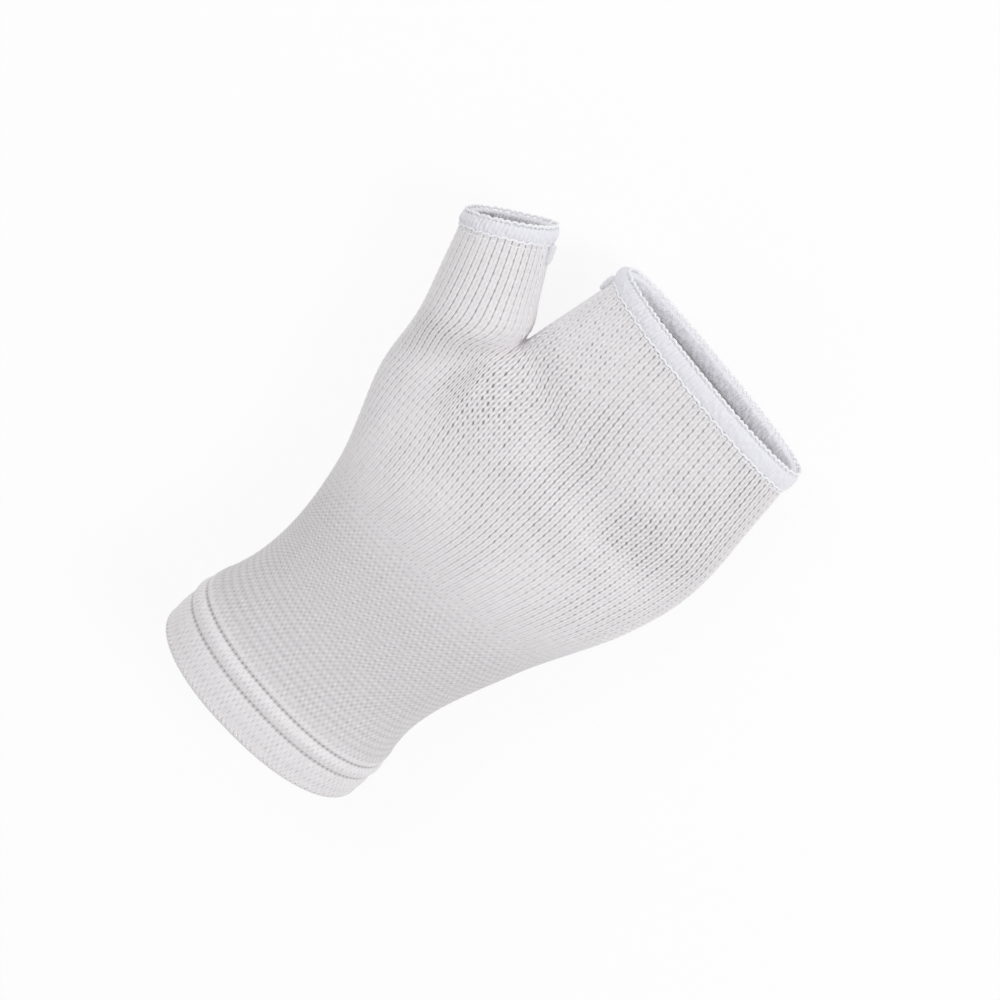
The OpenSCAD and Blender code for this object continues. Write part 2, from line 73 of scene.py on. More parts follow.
MM = 0.001
BODY = "root"
CAD_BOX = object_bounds()


def length(name, description, default_mm):
    """A length property whose default is given in millimetres."""
    return FloatProperty(name=name, description=description, default=default_mm * MM, min=0.0,
                         max=1.0, precision=5, subtype="DISTANCE", unit="LENGTH")


def degrees(name, description, default_degrees):
    """An angle property whose default is given in degrees."""
    return FloatProperty(name=name, description=description,
                         default=math.radians(default_degrees), subtype="ANGLE", unit="ROTATION")


def factor(name, description, default, high=1000.0):
    """A plain number property."""
    return FloatProperty(name=name, description=description, default=default, min=0.0, max=high)


def whole(name, description, default, least=1):
    """A property that counts something."""
    return IntProperty(name=name, description=description, default=default, min=least)


def colour(name, description, default):
    """A colour property, in linear values."""
    return FloatVectorProperty(name=name, description=description, default=default, size=4,
                               min=0.0, max=1.0, subtype="COLOR")


# ---------------------------------------------------------------- settings

class SleeveSizes(bpy.types.PropertyGroup):
    """Sizes of the worn sleeve, as in its construction."""

    hem_width: length("Hem width", "Width at the wrist hem", 63)
    hem_depth: length("Hem depth", "Height at the wrist hem", 41)
    hem_slant: length("Hem slant", "How much further back the hem reaches on the thumb side", 7)
    hem_belly: length("Hem belly", "How far the palm side of the hem bellies back", 2.5)
    cuff_width: length("Cuff width", "Width where the sleeve leaves the double hem", 62)
    wrist_width: length("Wrist width", "Width at the narrowest place of the wrist", 58)
    wrist_depth: length("Wrist depth", "Height at the narrowest place of the wrist", 37.5)
    wrist_run: length("Wrist run", "Hem edge to the narrowest place of the wrist", 23)
    heel_run: length("Heel run", "Narrowest place to the heel of the hand", 32)
    palm_run: length("Palm run", "Heel of the hand to the middle of the palm", 26)
    fork_run: length("Fork run", "Middle of the palm to the fork", 28)
    finger_run: length("Finger run", "Fork to the finger opening", 30)
    thumb_run: length("Thumb run", "Root of the thumb stall to its opening", 26)
    heel_width: length("Heel width", "Width across the heel of the hand", 67.5)
    heel_depth: length("Heel depth", "Height at the heel of the hand", 35.5)
    palm_width: length("Palm width", "Width across the palm and the ball of the thumb", 87)
    palm_depth: length("Palm depth", "Height across the palm", 33)
    fork_offset: length("Fork offset", "Fork from the centre line, towards the thumb", 27.5)
    knuckle_width: length("Knuckle width", "Width of the finger part at the fork", 71)
    knuckle_depth: length("Knuckle depth", "Height of the finger part at the fork", 28.5)
    finger_mouth_width: length("Finger opening width", "Width of the finger opening", 61.5)
    finger_mouth_depth: length("Finger opening depth", "Height of the finger opening", 24.5)
    thumb_root_width: length("Thumb root width", "Width of the thumb stall at the fork", 25.8)
    thumb_root_depth: length("Thumb root depth", "Height of the thumb stall at the fork", 25)
    thumb_mouth_width: length("Thumb opening width", "Width of the thumb opening", 21)
    thumb_mouth_depth: length("Thumb opening depth", "Height of the thumb opening", 20)
    thumb_lift: length("Thumb lift", "Height of the thumb opening above the floor", 10)
    thumb_angle: degrees("Thumb angle", "Thumb stall from the finger direction", 30)
    wall: length("Knit wall", "Thickness of the stretched knit", 1.4)
    gap: length("Layer gap", "Clearance between layers that lie on each other", 0.2)
    hem_height: length("Hem height", "Depth of the turned-in hem", 14)
    hem_row_1: length("First hem row", "Hem edge to the first stitch row", 7.5)
    hem_row_gap: length("Hem row gap", "Distance between the two hem stitch rows", 4.5)
    edging_width: length("Edging width", "Width of the overlocked bands", 4.4)
    edging_wrap: length("Edging wrap", "Thickness of the looper threads on each face", 0.7)
    edging_pitch: length("Edging pitch", "One overlock stitch to the next", 2.0)


class KnitSettings(bpy.types.PropertyGroup):
    """How the cloth is knitted."""

    finger_wales: whole("Finger wales", "Wales on one face of the finger part", 41, 8)
    thumb_wales: whole("Thumb wales", "Wales on one face of the thumb stall", 20, 4)
    trunk_courses: whole("Trunk courses", "Courses from the hem to the fork", 62, 50)
    finger_courses: whole("Finger courses", "Courses from the fork to the finger opening", 18, 4)
    thumb_courses: whole("Thumb courses", "Courses from the fork to the thumb opening", 14, 4)
    relief: length("Stitch relief", "Height of a stitch above the groove beside it", 0.55)
    relaxed: factor("Relaxed share", "Width off the hand over width when worn", 0.85, 1.0)


class ThreadSettings(bpy.types.PropertyGroup):
    """How the edges, hem and fork are sewn."""

    finger_ridge: length("Finger band ridge", "Notch between the turns of the finger band", 0.14)
    thumb_ridge: length("Thumb band ridge", "Notch between the turns of the thumb band", 0.26)
    finger_trim: length("Finger band trim", "From the finger band to its needle line", 0.2)
    thumb_trim: length("Thumb band trim", "From the thumb band to its needle line", 0.7)
    slant: factor("Wrap slant", "Stitches that a wrap leans over the band", 0.9)
    strands: factor("Strands", "Filament bundles in one wrap", 2.0)
    loop_pitch: length("Loop pitch", "One loop along a band's border to the next", 1.6)
    looper: length("Looper radius", "Radius of the looper thread along a band's borders", 0.31)
    needle: length("Needle thread radius", "Radius of the needle thread", 0.2)
    hem_thread: length("Hem thread radius", "Radius of the thread of the hem rows", 0.2)
    hem_wales: whole("Hem stitch", "Wales from one hem stitch to the next", 1)
    yarn: length("Elastic yarn radius", "Radius of an inlaid elastic yarn", 0.3)


class FinishSettings(bpy.types.PropertyGroup):
    """Colours of the cloth and the looper threads: where they stand out, and in their hollows.
    The cloth's darker colour is painted shade in its pits and grooves, and the dark end of its
    grain.
    """

    knit: colour("Cloth", "Knitted cloth", (0.9, 0.88, 0.895, 1))
    # Painted shade: the colour that the cloth's pits, grooves and hem rows darken towards, and also
    # the dark end of its fibre grain
    knit_hollow: colour("Cloth hollows", "Pits and grooves of the cloth", (0.19, 0.18, 0.185, 1))
    looper: colour("Looper", "Threads along the bands", (0.93, 0.93, 0.96, 1))
    looper_hollow: colour("Looper hollows", "Between looper fibres", (0.72, 0.72, 0.79, 1))


# ---------------------------------------------------------------- surface of the worn sleeve

def mix(a, b, t):
    return a + (b - a) * t


def unit(v):
    return v / np.maximum(np.linalg.norm(v, axis=-1, keepdims=True), 1e-12)


def smooth_step(t):
    t = np.clip(t, 0, 1)
    return t * t * (3 - 2 * t)


def rising(value, start, reach):
    """0 up to the start, 1 from a reach beyond it, and smooth between them."""
    return smooth_step((value - start) / reach)


def bell(value, width):
    """1 at 0, and nearly nothing beyond twice the width."""
    return np.exp(-(value / width) ** 2)


def curve(places, values, at):
    """Smooth curve through values at uneven places, straight beyond both ends."""
    places, values = np.asarray(places, float), np.asarray(values, float)
    column = (-1,) + (1,) * (values.ndim - 1)
    gaps = np.diff(places).reshape(column)
    rates = np.diff(values, axis=0) / gaps
    slopes = np.empty_like(values)
    slopes[0], slopes[-1] = rates[0], rates[-1]
    slopes[1:-1] = (rates[:-1] * gaps[1:] + rates[1:] * gaps[:-1]) / (gaps[:-1] + gaps[1:])
    at = np.atleast_1d(np.asarray(at, float))
    inside = np.clip(at, places[0], places[-1])
    n = np.clip(np.searchsorted(places, inside, side="right") - 1, 0, len(places) - 2)
    span = gaps[n]
    t = (inside - places[n]).reshape(column) / span
    beyond = (at - inside).reshape(column)
    return (values[n] * (1 + 2 * t) * (1 - t) ** 2 + values[n + 1] * t * t * (3 - 2 * t)
            + slopes[n] * span * t * (1 - t) ** 2 + slopes[n + 1] * span * t * t * (t - 1)
            + beyond * np.where(beyond < 0, slopes[0], slopes[-1]))


class Sleeve:
    """The outer face of the worn sleeve, as a function of place along it and round it.

    A section is a row of numbers: the plan of its first edge and of its second, how far its
    middle bows towards the fingers, its top and bottom, and the levels of the two edges.  Round
    the trunk the edges are the ulnar and the radial one, round a limb the outer and the fork's.
    """

    FIRST, SECOND = slice(0, 2), slice(2, 4)
    BOW, TOP, BOTTOM, FIRST_LEVEL, SECOND_LEVEL = range(4, 9)
    PALM_ROUND, BACK_ROUND, SIDE_LEVEL = 2.2, 2.7, 0.48
    FORK_ANGLE, BOW_PEAK, FORK_SETBACK = math.radians(121), 0.72, 1.15
    KNUCKLE_LIFT, FINGER_MOUTH_LIFT, THUMB_ROOT_LIFT = 0.2 * MM, 1.6 * MM, 6.5 * MM
    WEB_RUN_SHARE, WEB_LEVEL_SHARE, THUMB_SIDE_LEVEL = 0.85, 0.54, 0.5
    # How the thumb stall's two ends are turned from square to its direction
    THUMB_ROOT_TURN, THUMB_MOUTH_TURN = math.radians(-1), math.radians(9)
    # Where a limb's sections lie, as shares of its run
    LIMB_SHARES = np.array([0, 0.06, 0.5, 1])

    def __init__(self, z):
        self.z, self.origin = z, np.zeros(3)
        cuff_overlap, ulnar_setback = 2 * MM, 1.8 * MM
        self.cuff_at = z.hem_height - cuff_overlap
        wrist_at, heel_at, palm_at, self.fork_at = np.cumsum(
            [z.wrist_run, z.heel_run, z.palm_run, z.fork_run])
        self.trunk_places = np.array([0, self.cuff_at, wrist_at, heel_at, palm_at, self.fork_at])
        self.run = {"finger": z.finger_run, "thumb": z.thumb_run}
        self.web_run = self.WEB_RUN_SHARE * z.fork_run
        self.web_level = self.KNUCKLE_LIFT + self.WEB_LEVEL_SHARE * z.knuckle_depth
        self.fork = np.array([self.fork_at, z.fork_offset])
        self.ulnar_root = self.fork - [ulnar_setback, z.knuckle_width]
        self.thumb_root = self.fork + self.sideways(z.thumb_angle + self.THUMB_ROOT_TURN,
                                                    z.thumb_root_width)
        self.shape_trunk()
        self.limb_rows, self.edges = {}, {}
        self.shape_limb("finger", self.FIRST, *self.finger_ends())
        self.shape_limb("thumb", self.SECOND, *self.thumb_ends())

    def sideways(self, angle, reach):
        """A step in plan, across the direction at the angle from the fingers."""
        return reach * np.array([-math.sin(angle), math.cos(angle)])

    def section(self, at, width, depth, shift=0.0, slant=0.0, bow=0.0, lift=0.0, raised=0.0):
        """A section of the trunk, shifted to the thumb side, whose radial edge is slanted back
        towards the hem and raised."""
        level = lift + self.SIDE_LEVEL * depth
        return [at + slant / 2, shift - width / 2, at - slant / 2, shift + width / 2, bow,
                lift + depth, lift, level, level + raised]

    def shape_trunk(self):
        z, cuff_drop, fork_crown = self.z, 2 * MM, 2 * MM
        hem_at, cuff_at, wrist_at, heel_at, palm_at, _ = self.trunk_places
        share = z.knuckle_width / (self.thumb_root[1] - self.ulnar_root[1])
        fork_bow = self.fork[0] - mix(self.ulnar_root[0], self.thumb_root[0], share)
        self.trunk_rows = np.array([
            self.section(hem_at, z.hem_width, z.hem_depth, shift=-0.7 * MM, slant=z.hem_slant),
            self.section(cuff_at, z.cuff_width, z.hem_depth - cuff_drop,
                         slant=0.6 * z.hem_slant, lift=1.8 * MM),
            self.section(wrist_at, z.wrist_width, z.wrist_depth, slant=2 * MM, lift=1.2 * MM),
            self.section(heel_at, z.heel_width, z.heel_depth, slant=2 * MM, bow=1 * MM,
                         lift=1 * MM, raised=0.5 * MM),
            self.section(palm_at, z.palm_width, z.palm_depth, shift=1.4 * MM, slant=6 * MM,
                         bow=4 * MM, lift=0.3 * MM, raised=4 * MM),
            [*self.ulnar_root, *self.thumb_root, fork_bow,
             self.KNUCKLE_LIFT + z.knuckle_depth + fork_crown, self.KNUCKLE_LIFT,
             self.KNUCKLE_LIFT + self.SIDE_LEVEL * z.knuckle_depth,
             self.THUMB_ROOT_LIFT + z.thumb_root_depth / 2]])

    def limb_section(self, outer, inner, lift, depth, side, inner_level=None):
        """A section of a limb, whose outer edge runs at the share side of its depth."""
        level = lift + side * depth
        inner_level = level if inner_level is None else inner_level
        return np.array([*outer, *inner, 0, lift + depth, lift, level, inner_level])

    def finger_ends(self):
        """The first and the last section of the finger part."""
        z, finger_shift, finger_slant = self.z, -5.7 * MM, 1.5 * MM
        mouth = np.array([self.fork_at + z.finger_run, finger_shift])
        half = np.array([finger_slant / 2, -z.finger_mouth_width / 2])
        return (self.limb_section(self.ulnar_root, self.fork, self.KNUCKLE_LIFT, z.knuckle_depth,
                                  self.SIDE_LEVEL, self.web_level),
                self.limb_section(mouth + half, mouth - half, self.FINGER_MOUTH_LIFT,
                                  z.finger_mouth_depth, self.SIDE_LEVEL))

    def thumb_ends(self):
        """The first and the last section of the thumb stall."""
        z = self.z
        mouth = (self.fork + self.thumb_root) / 2 + z.thumb_run * np.array(
            [math.cos(z.thumb_angle), math.sin(z.thumb_angle)])
        half = self.sideways(z.thumb_angle + self.THUMB_MOUTH_TURN, z.thumb_mouth_width / 2)
        return (self.limb_section(self.thumb_root, self.fork, self.THUMB_ROOT_LIFT,
                                  z.thumb_root_depth, self.THUMB_SIDE_LEVEL, self.web_level),
                self.limb_section(mouth + half, mouth - half, z.thumb_lift, z.thumb_mouth_depth,
                                  self.THUMB_SIDE_LEVEL))

    def shape_limb(self, name, side, root, end):
        """Sections of a limb, and the plan of the edge that runs on into it from the trunk."""
        rows = np.array([mix(root, end, share) for share in self.LIMB_SHARES])
        self.limb_rows[name] = rows
        self.edges[name] = (
            np.append(self.trunk_places, self.fork_at + self.LIMB_SHARES[2:] * self.run[name]),
            np.vstack([self.trunk_rows[:, side], rows[2:, self.FIRST]]))

    def lobe(self, rows, face, angle, inset, drawn=1):
        """Points on half a section, from its first edge at angle 0 to its second edge at pi,
        which is drawn in by the share drawn of the inset."""
        rows = np.atleast_2d(rows)
        first, second = rows[:, self.FIRST], rows[:, self.SECOND]
        across = unit(second - first)
        first = first + np.reshape(inset, (-1, 1)) * across
        second = second - np.reshape(drawn * inset, (-1, 1)) * across
        power = np.where(face > 0, 2 / self.PALM_ROUND, 2 / self.BACK_ROUND)
        cosine = np.cos(angle)
        share = (1 - np.sign(cosine) * np.abs(cosine) ** power) / 2
        rise = np.abs(np.sin(angle)) ** power
        plan = mix(first, second, share[:, None])
        peak = self.BOW_PEAK
        away = np.where(share < peak, (peak - share) / peak, (share - peak) / (1 - peak))
        level = mix(rows[:, self.FIRST_LEVEL], rows[:, self.SECOND_LEVEL], share)
        height = np.where(face > 0, rows[:, self.TOP] - inset, rows[:, self.BOTTOM] + inset)
        return np.column_stack([plan[:, 0] + rows[:, self.BOW] * (1 - away * away), plan[:, 1],
                                mix(level, height, rise)])

    def section_angle(self, part):
        """The angle along a plain section at which a part of the trunk lies."""
        return np.where(part <= 1, part * self.FORK_ANGLE,
                        self.FORK_ANGLE + (math.pi - self.FORK_ANGLE) * (part - 1))

    def single(self, at, part, face, inset):
        """Plain section of the trunk, without a fork."""
        rows = curve(self.trunk_places, self.trunk_rows, at)
        rows[:, self.FIRST] = curve(*self.edges["finger"], at)
        rows[:, self.SECOND] = curve(*self.edges["thumb"], at)
        return self.lobe(rows, face, self.section_angle(part), inset)

    def trunk(self, at, part, face, inset=0.0):
        """Plain section near the wrist, two lobes at the fork, and a rounded web between.

        part runs from 0 at the ulnar edge over 1 at the fork to 2 at the radial edge.
        """
        at, part, face = np.broadcast_arrays(np.atleast_1d(at), part, face)
        along = np.clip((at - self.fork_at + self.web_run) / self.web_run, 0, 1)
        far = np.abs(part - 1)
        closing = mix(1 - np.sqrt(1 - along ** 3), smooth_step(along), 1 - (1 - far) ** 3)
        plain = self.single(at, part, face, inset)
        shift = plain - self.single(np.full_like(at, self.fork_at), part, face, inset)
        shift[:, 2] = 0
        fingers = self.lobe(self.limb_rows["finger"][0], face, math.pi * np.minimum(part, 1),
                            inset, 0)
        thumb = self.lobe(self.limb_rows["thumb"][0], face, math.pi * (2 - np.maximum(part, 1)),
                          inset, 0)
        forked = np.where((part <= 1)[:, None], fingers, thumb)
        forked[:, 0] -= self.FORK_SETBACK * inset
        point = mix(plain, forked + shift, closing[:, None])
        fading = np.exp(-np.maximum(at, 0) / self.cuff_at)
        belly = self.z.hem_belly * np.sin(self.section_angle(part)) * fading
        point[:, 0] -= np.where(face > 0, belly, 0)
        return point - self.origin

    def limb(self, name, at, half, face, inset=0.0):
        """Points of the finger part or of the thumb stall.

        at counts from the fork; half is 0 at the limb's outer edge and pi at the fork side.
        """
        at, half, face = np.broadcast_arrays(np.atleast_1d(at), half, face)
        rows = curve(self.LIMB_SHARES * self.run[name], self.limb_rows[name], at)
        rows[:, self.FIRST] = curve(*self.edges[name], self.fork_at + at)
        return self.lobe(rows, face, half, inset) - self.origin


def walked(points):
    """The distance along a line to each of its points."""
    return np.append(0, np.cumsum(np.linalg.norm(np.diff(points, axis=0), axis=1)))


def at_distance(points, distance):
    """Points of a line at the given distances along it."""
    gone = walked(points)
    return np.column_stack([np.interp(distance, gone, axis) for axis in points.T])


def settled(values, reach):
    """Values evened out along their row, over about reach neighbours to each side."""
    weights = np.exp(-0.5 * (np.arange(-3 * reach, 3 * reach + 1) / reach) ** 2)
    return np.convolve(np.pad(values, 3 * reach, mode="edge"), weights / weights.sum(), "valid")


# ---------------------------------------------------------------- stitch grid

def with_ghosts(rows):
    """Rows with one more at each end, as far out as the last one lies in."""
    return np.concatenate([2 * rows[:1] - rows[1:2], rows, 2 * rows[-1:] - rows[-2:-1]])


def spline_rows(rows, at):
    """Catmull-Rom curve through rows along the first axis.  Row 0 and the last are ghosts."""
    n = np.clip(np.floor(at).astype(int), 0, len(rows) - 4)
    t = (at - n).reshape((-1,) + (1,) * (rows.ndim - 1))
    a, b, c, d = rows[n], rows[n + 1], rows[n + 2], rows[n + 3]
    return b + 0.5 * t * (c - a + t * (2 * a - 5 * b + 4 * c - d + t * (3 * (b - c) + d - a)))


class StitchGrid:
    """One point for each stitch corner: four strips of wales that share their borders.

    A strip is the palm or back face (1 or -1) of the finger wales or of the thumb wales, and
    runs from the wrist hem to its own opening.  The wales turn round the arm by TURN at the hem,
    and round a limb by its TWIST at the opening.
    """

    SAMPLES, LEAN, TURN = 120, 13 * MM, 11 * MM
    TWIST = {"finger": 1.2 * MM, "thumb": 0.0}
    EVEN_REACH = {"finger": 10, "thumb": 6}
    TIGHT, TIGHT_COURSES = 0.07, 14

    def __init__(self, sleeve, knit):
        self.sleeve = sleeve
        self.fork = knit.trunk_courses
        self.wales = {"finger": knit.finger_wales, "thumb": knit.thumb_wales}
        self.split = knit.finger_wales / (knit.finger_wales + knit.thumb_wales)
        self.courses = {"finger": self.fork + knit.finger_courses,
                        "thumb": self.fork + knit.thumb_courses}
        self.number()
        for limb, face in self.index:
            self.spots[self.index[limb, face]] = self.strip(limb, face)
        self.relax()
        self.find_normals()

    def number(self):
        """Numbers the stitch corners, the shared ones once."""
        self.index, count = {}, 0
        for limb in ("finger", "thumb"):
            for face in (1, -1):
                shape = self.courses[limb] + 1, self.wales[limb] + 1
                self.index[limb, face] = count + np.arange(shape[0] * shape[1]).reshape(shape)
                count += shape[0] * shape[1]
        index, fork = self.index, self.fork
        index["finger", -1][:, 0] = index["finger", 1][:, 0]
        index["finger", -1][fork:, -1] = index["finger", 1][fork:, -1]
        index["thumb", -1][:, -1] = index["thumb", 1][:, -1]
        for face in (1, -1):
            index["thumb", face][:fork + 1, 0] = index["finger", face][:fork + 1, -1]
        index["thumb", -1][fork + 1:, 0] = index["thumb", 1][fork + 1:, 0]
        self.spots = np.zeros((count, 3))

    def strip(self, limb, face):
        """Points of a strip, courses by wales.  Wale 0 is the ulnar edge or the fork wale."""
        lines, spans, turns = zip(*(self.course(limb, face, number)
                                    for number in range(self.courses[limb] + 1)))
        even = settled(np.array(spans), self.EVEN_REACH[limb])
        share = np.linspace(0, 1, self.wales[limb] + 1)
        rows = []
        for number, (line, span, turn, plain) in enumerate(zip(lines, spans, turns, even)):
            tight = self.TIGHT * math.exp(-((number - self.fork) / self.TIGHT_COURSES) ** 2)
            distance = plain * share + (span - plain) * share ** 4
            distance = distance + tight * span * share * (1 - share)
            if turn:
                distance = (distance + turn) % walked(line)[-1]
            rows.append(at_distance(line, distance))
        rows = np.array(rows)
        return rows if limb == "finger" else rows[:, ::-1]

    def course(self, limb, face, number):
        """A course as a dense ring from the strip's outer edge, the length to its fork wale, and
        how far the wales are turned round the limb there."""
        if number <= self.fork:
            line, behind = (self.trunk_course(side, number) for side in (face, -face))
            gone = walked(line)
            done = number / self.fork
            gathered = smooth_step((done - 0.6) / 0.4)
            middle = mix(self.split * gone[-1], gone[self.SAMPLES], gathered)
            turn = face * self.TURN * (1 - done)
            if limb == "finger":
                return np.concatenate([line, behind[-2::-1]]), middle, turn
            return np.concatenate([line[::-1], behind[1:]]), gone[-1] - middle, -turn
        done = (number - self.fork) / (self.courses[limb] - self.fork)
        half = np.linspace(0, math.pi, self.SAMPLES)
        near, far = (self.sleeve.limb(limb, done * self.sleeve.run[limb], half, side)
                     for side in (face, -face))
        return (np.concatenate([near, far[-2::-1]]), walked(near)[-1],
                face * self.TWIST[limb] * done)

    def trunk_course(self, face, number):
        """A course of the trunk, from the ulnar edge to the radial edge.  Over the palm its
        ulnar end lies nearer the fingers."""
        part = np.linspace(0, 2, 2 * self.SAMPLES + 1)
        share = np.where(part < 1, part * self.split, self.split + (part - 1) * (1 - self.split))
        done = number / self.fork
        lean = self.LEAN * smooth_step((done - 0.2) / 0.3) * (1 - smooth_step((done - 0.65) / 0.35))
        return self.sleeve.trunk(self.place(number) + lean * (0.2 - share), part, face)

    def place(self, course):
        """Distance along the sleeve of a course: they lie further apart near the wrist."""
        done = np.minimum(course / self.fork, 1)
        return self.sleeve.fork_at * (course / self.fork + 0.45 * done * (1 - done) ** 3)

    def relax(self, rounds=60, pull=0.5, push=-0.53, reach=34 * MM):
        """Evens out the stitches round the fork, as the cloth's own tension does.

        Each pull towards the neighbours is followed by a push back, so the cloth keeps its shape.
        """
        pairs = np.concatenate([np.column_stack([ends[0].ravel(), ends[1].ravel()])
                                for g in self.index.values()
                                for ends in ((g[:-1], g[1:]), (g[:, :-1], g[:, 1:]))])
        pairs = np.unique(np.sort(pairs, axis=1), axis=0)
        degree = np.bincount(pairs.ravel(), minlength=len(self.spots))[:, None]
        fork = self.spots[self.index["finger", 1][self.fork, -1]]
        far = np.linalg.norm(self.spots - fork, axis=1) / reach
        weight = np.exp(-far ** 4)[:, None]
        for g in self.index.values():
            weight[g[-1]] = 0
        for strength in (pull, push) * rounds:
            total = np.zeros_like(self.spots)
            np.add.at(total, pairs[:, 0], self.spots[pairs[:, 1]])
            np.add.at(total, pairs[:, 1], self.spots[pairs[:, 0]])
            self.spots = mix(self.spots, total / np.maximum(degree, 1), strength * weight)

    def find_normals(self):
        self.normals = np.zeros_like(self.spots)
        for (_, face), g in self.index.items():
            p = self.spots[g]
            cross = np.cross(p[1:, :-1] - p[:-1, 1:], p[1:, 1:] - p[:-1, :-1]) * face
            for corner in (g[1:, 1:], g[:-1, :-1], g[1:, :-1], g[:-1, 1:]):
                np.add.at(self.normals, corner.ravel(), cross.reshape(-1, 3))
        self.normals = unit(self.normals)

    def padded(self, values, limb, face):
        """A strip with one more row and column all round, taken from its neighbours."""
        fork, behind = self.fork, self.index[limb, -face]
        left, right = behind[:, 1].copy(), behind[:, -2].copy()
        if limb == "finger":
            right[:fork + 1] = self.index["thumb", face][:fork + 1, 1]
        else:
            left[:fork + 1] = self.index["finger", face][:fork + 1, -2]
        wide = values[np.column_stack([left, self.index[limb, face], right])]
        return with_ghosts(wide)

    def sample(self, limb, face, courses, wales):
        """Points and unit normals of a strip at fractional courses and wales."""
        found = []
        for values in (self.spots, self.normals):
            rows = spline_rows(self.padded(values, limb, face), courses)
            found.append(spline_rows(rows.swapaxes(0, 1), wales).swapaxes(0, 1))
        return found[0], unit(found[1])


# ---------------------------------------------------------------- meshes and node trees

def new_object(name, mesh):
    made = bpy.data.objects.new(name, mesh)
    bpy.context.scene.collection.objects.link(made)
    return made


def make_mesh(name, points, face_sets, values=None):
    """A mesh object from points and arrays of faces, with float or vector values per point."""
    mesh = bpy.data.meshes.new(name)
    loops = np.concatenate([f.ravel() for f in face_sets]).astype(np.int32)
    sizes = np.concatenate([np.full(len(f), f.shape[1]) for f in face_sets])
    starts = (np.cumsum(sizes) - sizes).astype(np.int32)
    mesh.vertices.add(len(points))
    mesh.loops.add(len(loops))
    mesh.polygons.add(len(starts))
    mesh.vertices.foreach_set("co", np.asarray(points, np.float32).ravel())
    mesh.loops.foreach_set("vertex_index", loops)
    mesh.polygons.foreach_set("loop_start", starts)
    mesh.update(calc_edges=True)
    for key, array in (values or {}).items():
        array = np.asarray(array, np.float32)
        kind, slot = ("FLOAT_VECTOR", "vector") if array.ndim == 2 else ("FLOAT", "value")
        mesh.attributes.new(key, kind, "POINT").data.foreach_set(slot, array.ravel())
    return new_object(name, mesh)


def grid_faces(index):
    """Quads over a grid of point numbers, with normals along rows x columns."""
    return np.stack([index[:-1, :-1], index[:-1, 1:], index[1:, 1:], index[1:, :-1]],
                    -1).reshape(-1, 4)


def line_mesh(name, lines):
    """A mesh of open or closed guide lines.  Each line is (points, closed)."""
    points = np.concatenate([line for line, _ in lines])
    edges, first = [], 0
    for line, closed in lines:
        index = first + np.arange(len(line))
        edges.append(np.column_stack([index, np.roll(index, -1)])[:len(line) if closed else -1])
        first += len(line)
    edges = np.concatenate(edges).astype(np.int32)
    mesh = bpy.data.meshes.new(name)
    mesh.vertices.add(len(points))
    mesh.edges.add(len(edges))
    mesh.vertices.foreach_set("co", points.astype(np.float32).ravel())
    mesh.edges.foreach_set("vertices", edges.ravel())
    mesh.update()
    return new_object(name, mesh)


class Wire:
    """A socket that takes part in arithmetic, which adds Math nodes to its tree."""

    def __init__(self, graph, socket):
        self.graph, self.socket = graph, socket

    def __add__(self, other):
        return self.graph.math("ADD", self, other)

    def __sub__(self, other):
        return self.graph.math("SUBTRACT", self, other)

    def __mul__(self, other):
        return self.graph.math("MULTIPLY", self, other)

    def __truediv__(self, other):
        return self.graph.math("DIVIDE", self, other)

    def __pow__(self, other):
        return self.graph.math("POWER", self, other)

    def __rsub__(self, other):
        return self.graph.math("SUBTRACT", other, self)

    __radd__, __rmul__ = __add__, __mul__


class Graph:
    """Adds nodes to a tree and joins them."""

    def __init__(self, tree):
        self.tree = tree

    def node(self, kind, *inputs, out=0, **settings):
        """Adds a node; inputs are values or wires in socket order, and None leaves one alone.
        A setting whose name is a socket's name with _ for spaces sets or joins that socket."""
        made = self.tree.nodes.new(kind)
        named = {}
        for key, value in settings.items():
            if hasattr(made, key):
                setattr(made, key, value)
            else:
                named[key.replace("_", " ")] = value
        for place, value in [*enumerate(inputs), *named.items()]:
            self.join(made.inputs[place], value)
        return Wire(self, made.outputs[out])

    def join(self, socket, value):
        if isinstance(value, Wire):
            self.tree.links.new(value.socket, socket)
        elif value is not None:
            socket.default_value = value

    def math(self, operation, *inputs):
        return self.node("ShaderNodeMath", *inputs, operation=operation)

    def ramp(self, value, low, high, to_low=0.0, to_high=1.0):
        """Smooth step of value from low to high."""
        return self.node("ShaderNodeMapRange", value, low, high, to_low, to_high,
                         interpolation_type="SMOOTHSTEP")

    def attribute(self, name):
        if self.tree.bl_idname == "GeometryNodeTree":
            return self.node("GeometryNodeInputNamedAttribute", name, data_type="FLOAT")
        return self.node("ShaderNodeAttribute", attribute_name=name, out="Fac")


def new_group(name, kind, takes, gives):
    """A node group with named inputs and outputs, and wires from its inputs.

    takes holds each input's socket type and default, and gives each output's socket type.
    """
    tree = bpy.data.node_groups.new(name, kind)
    for key, (socket, default) in takes.items():
        made = tree.interface.new_socket(key, in_out="INPUT", socket_type=socket)
        if default is not None:
            made.default_value = default
    for key, socket in gives.items():
        tree.interface.new_socket(key, in_out="OUTPUT", socket_type=socket)
    graph = Graph(tree)
    entry = tree.nodes.new("NodeGroupInput")
    return graph, {s.name: Wire(graph, s) for s in entry.outputs if s.name}


def end_group(graph, *wires):
    """Joins the wires to the group's outputs, in their order."""
    last = graph.tree.nodes.new("NodeGroupOutput")
    for socket, wire in zip(last.inputs, wires):
        graph.join(socket, wire)
    return graph.tree


def geometry_tree(name, takes):
    """A Geometry Nodes tree with named inputs besides the geometry and the material."""
    return new_group(name, "GeometryNodeTree", {
        "Geometry": ("NodeSocketGeometry", None), **takes,
        "Material": ("NodeSocketMaterial", None)}, {"Geometry": "NodeSocketGeometry"})


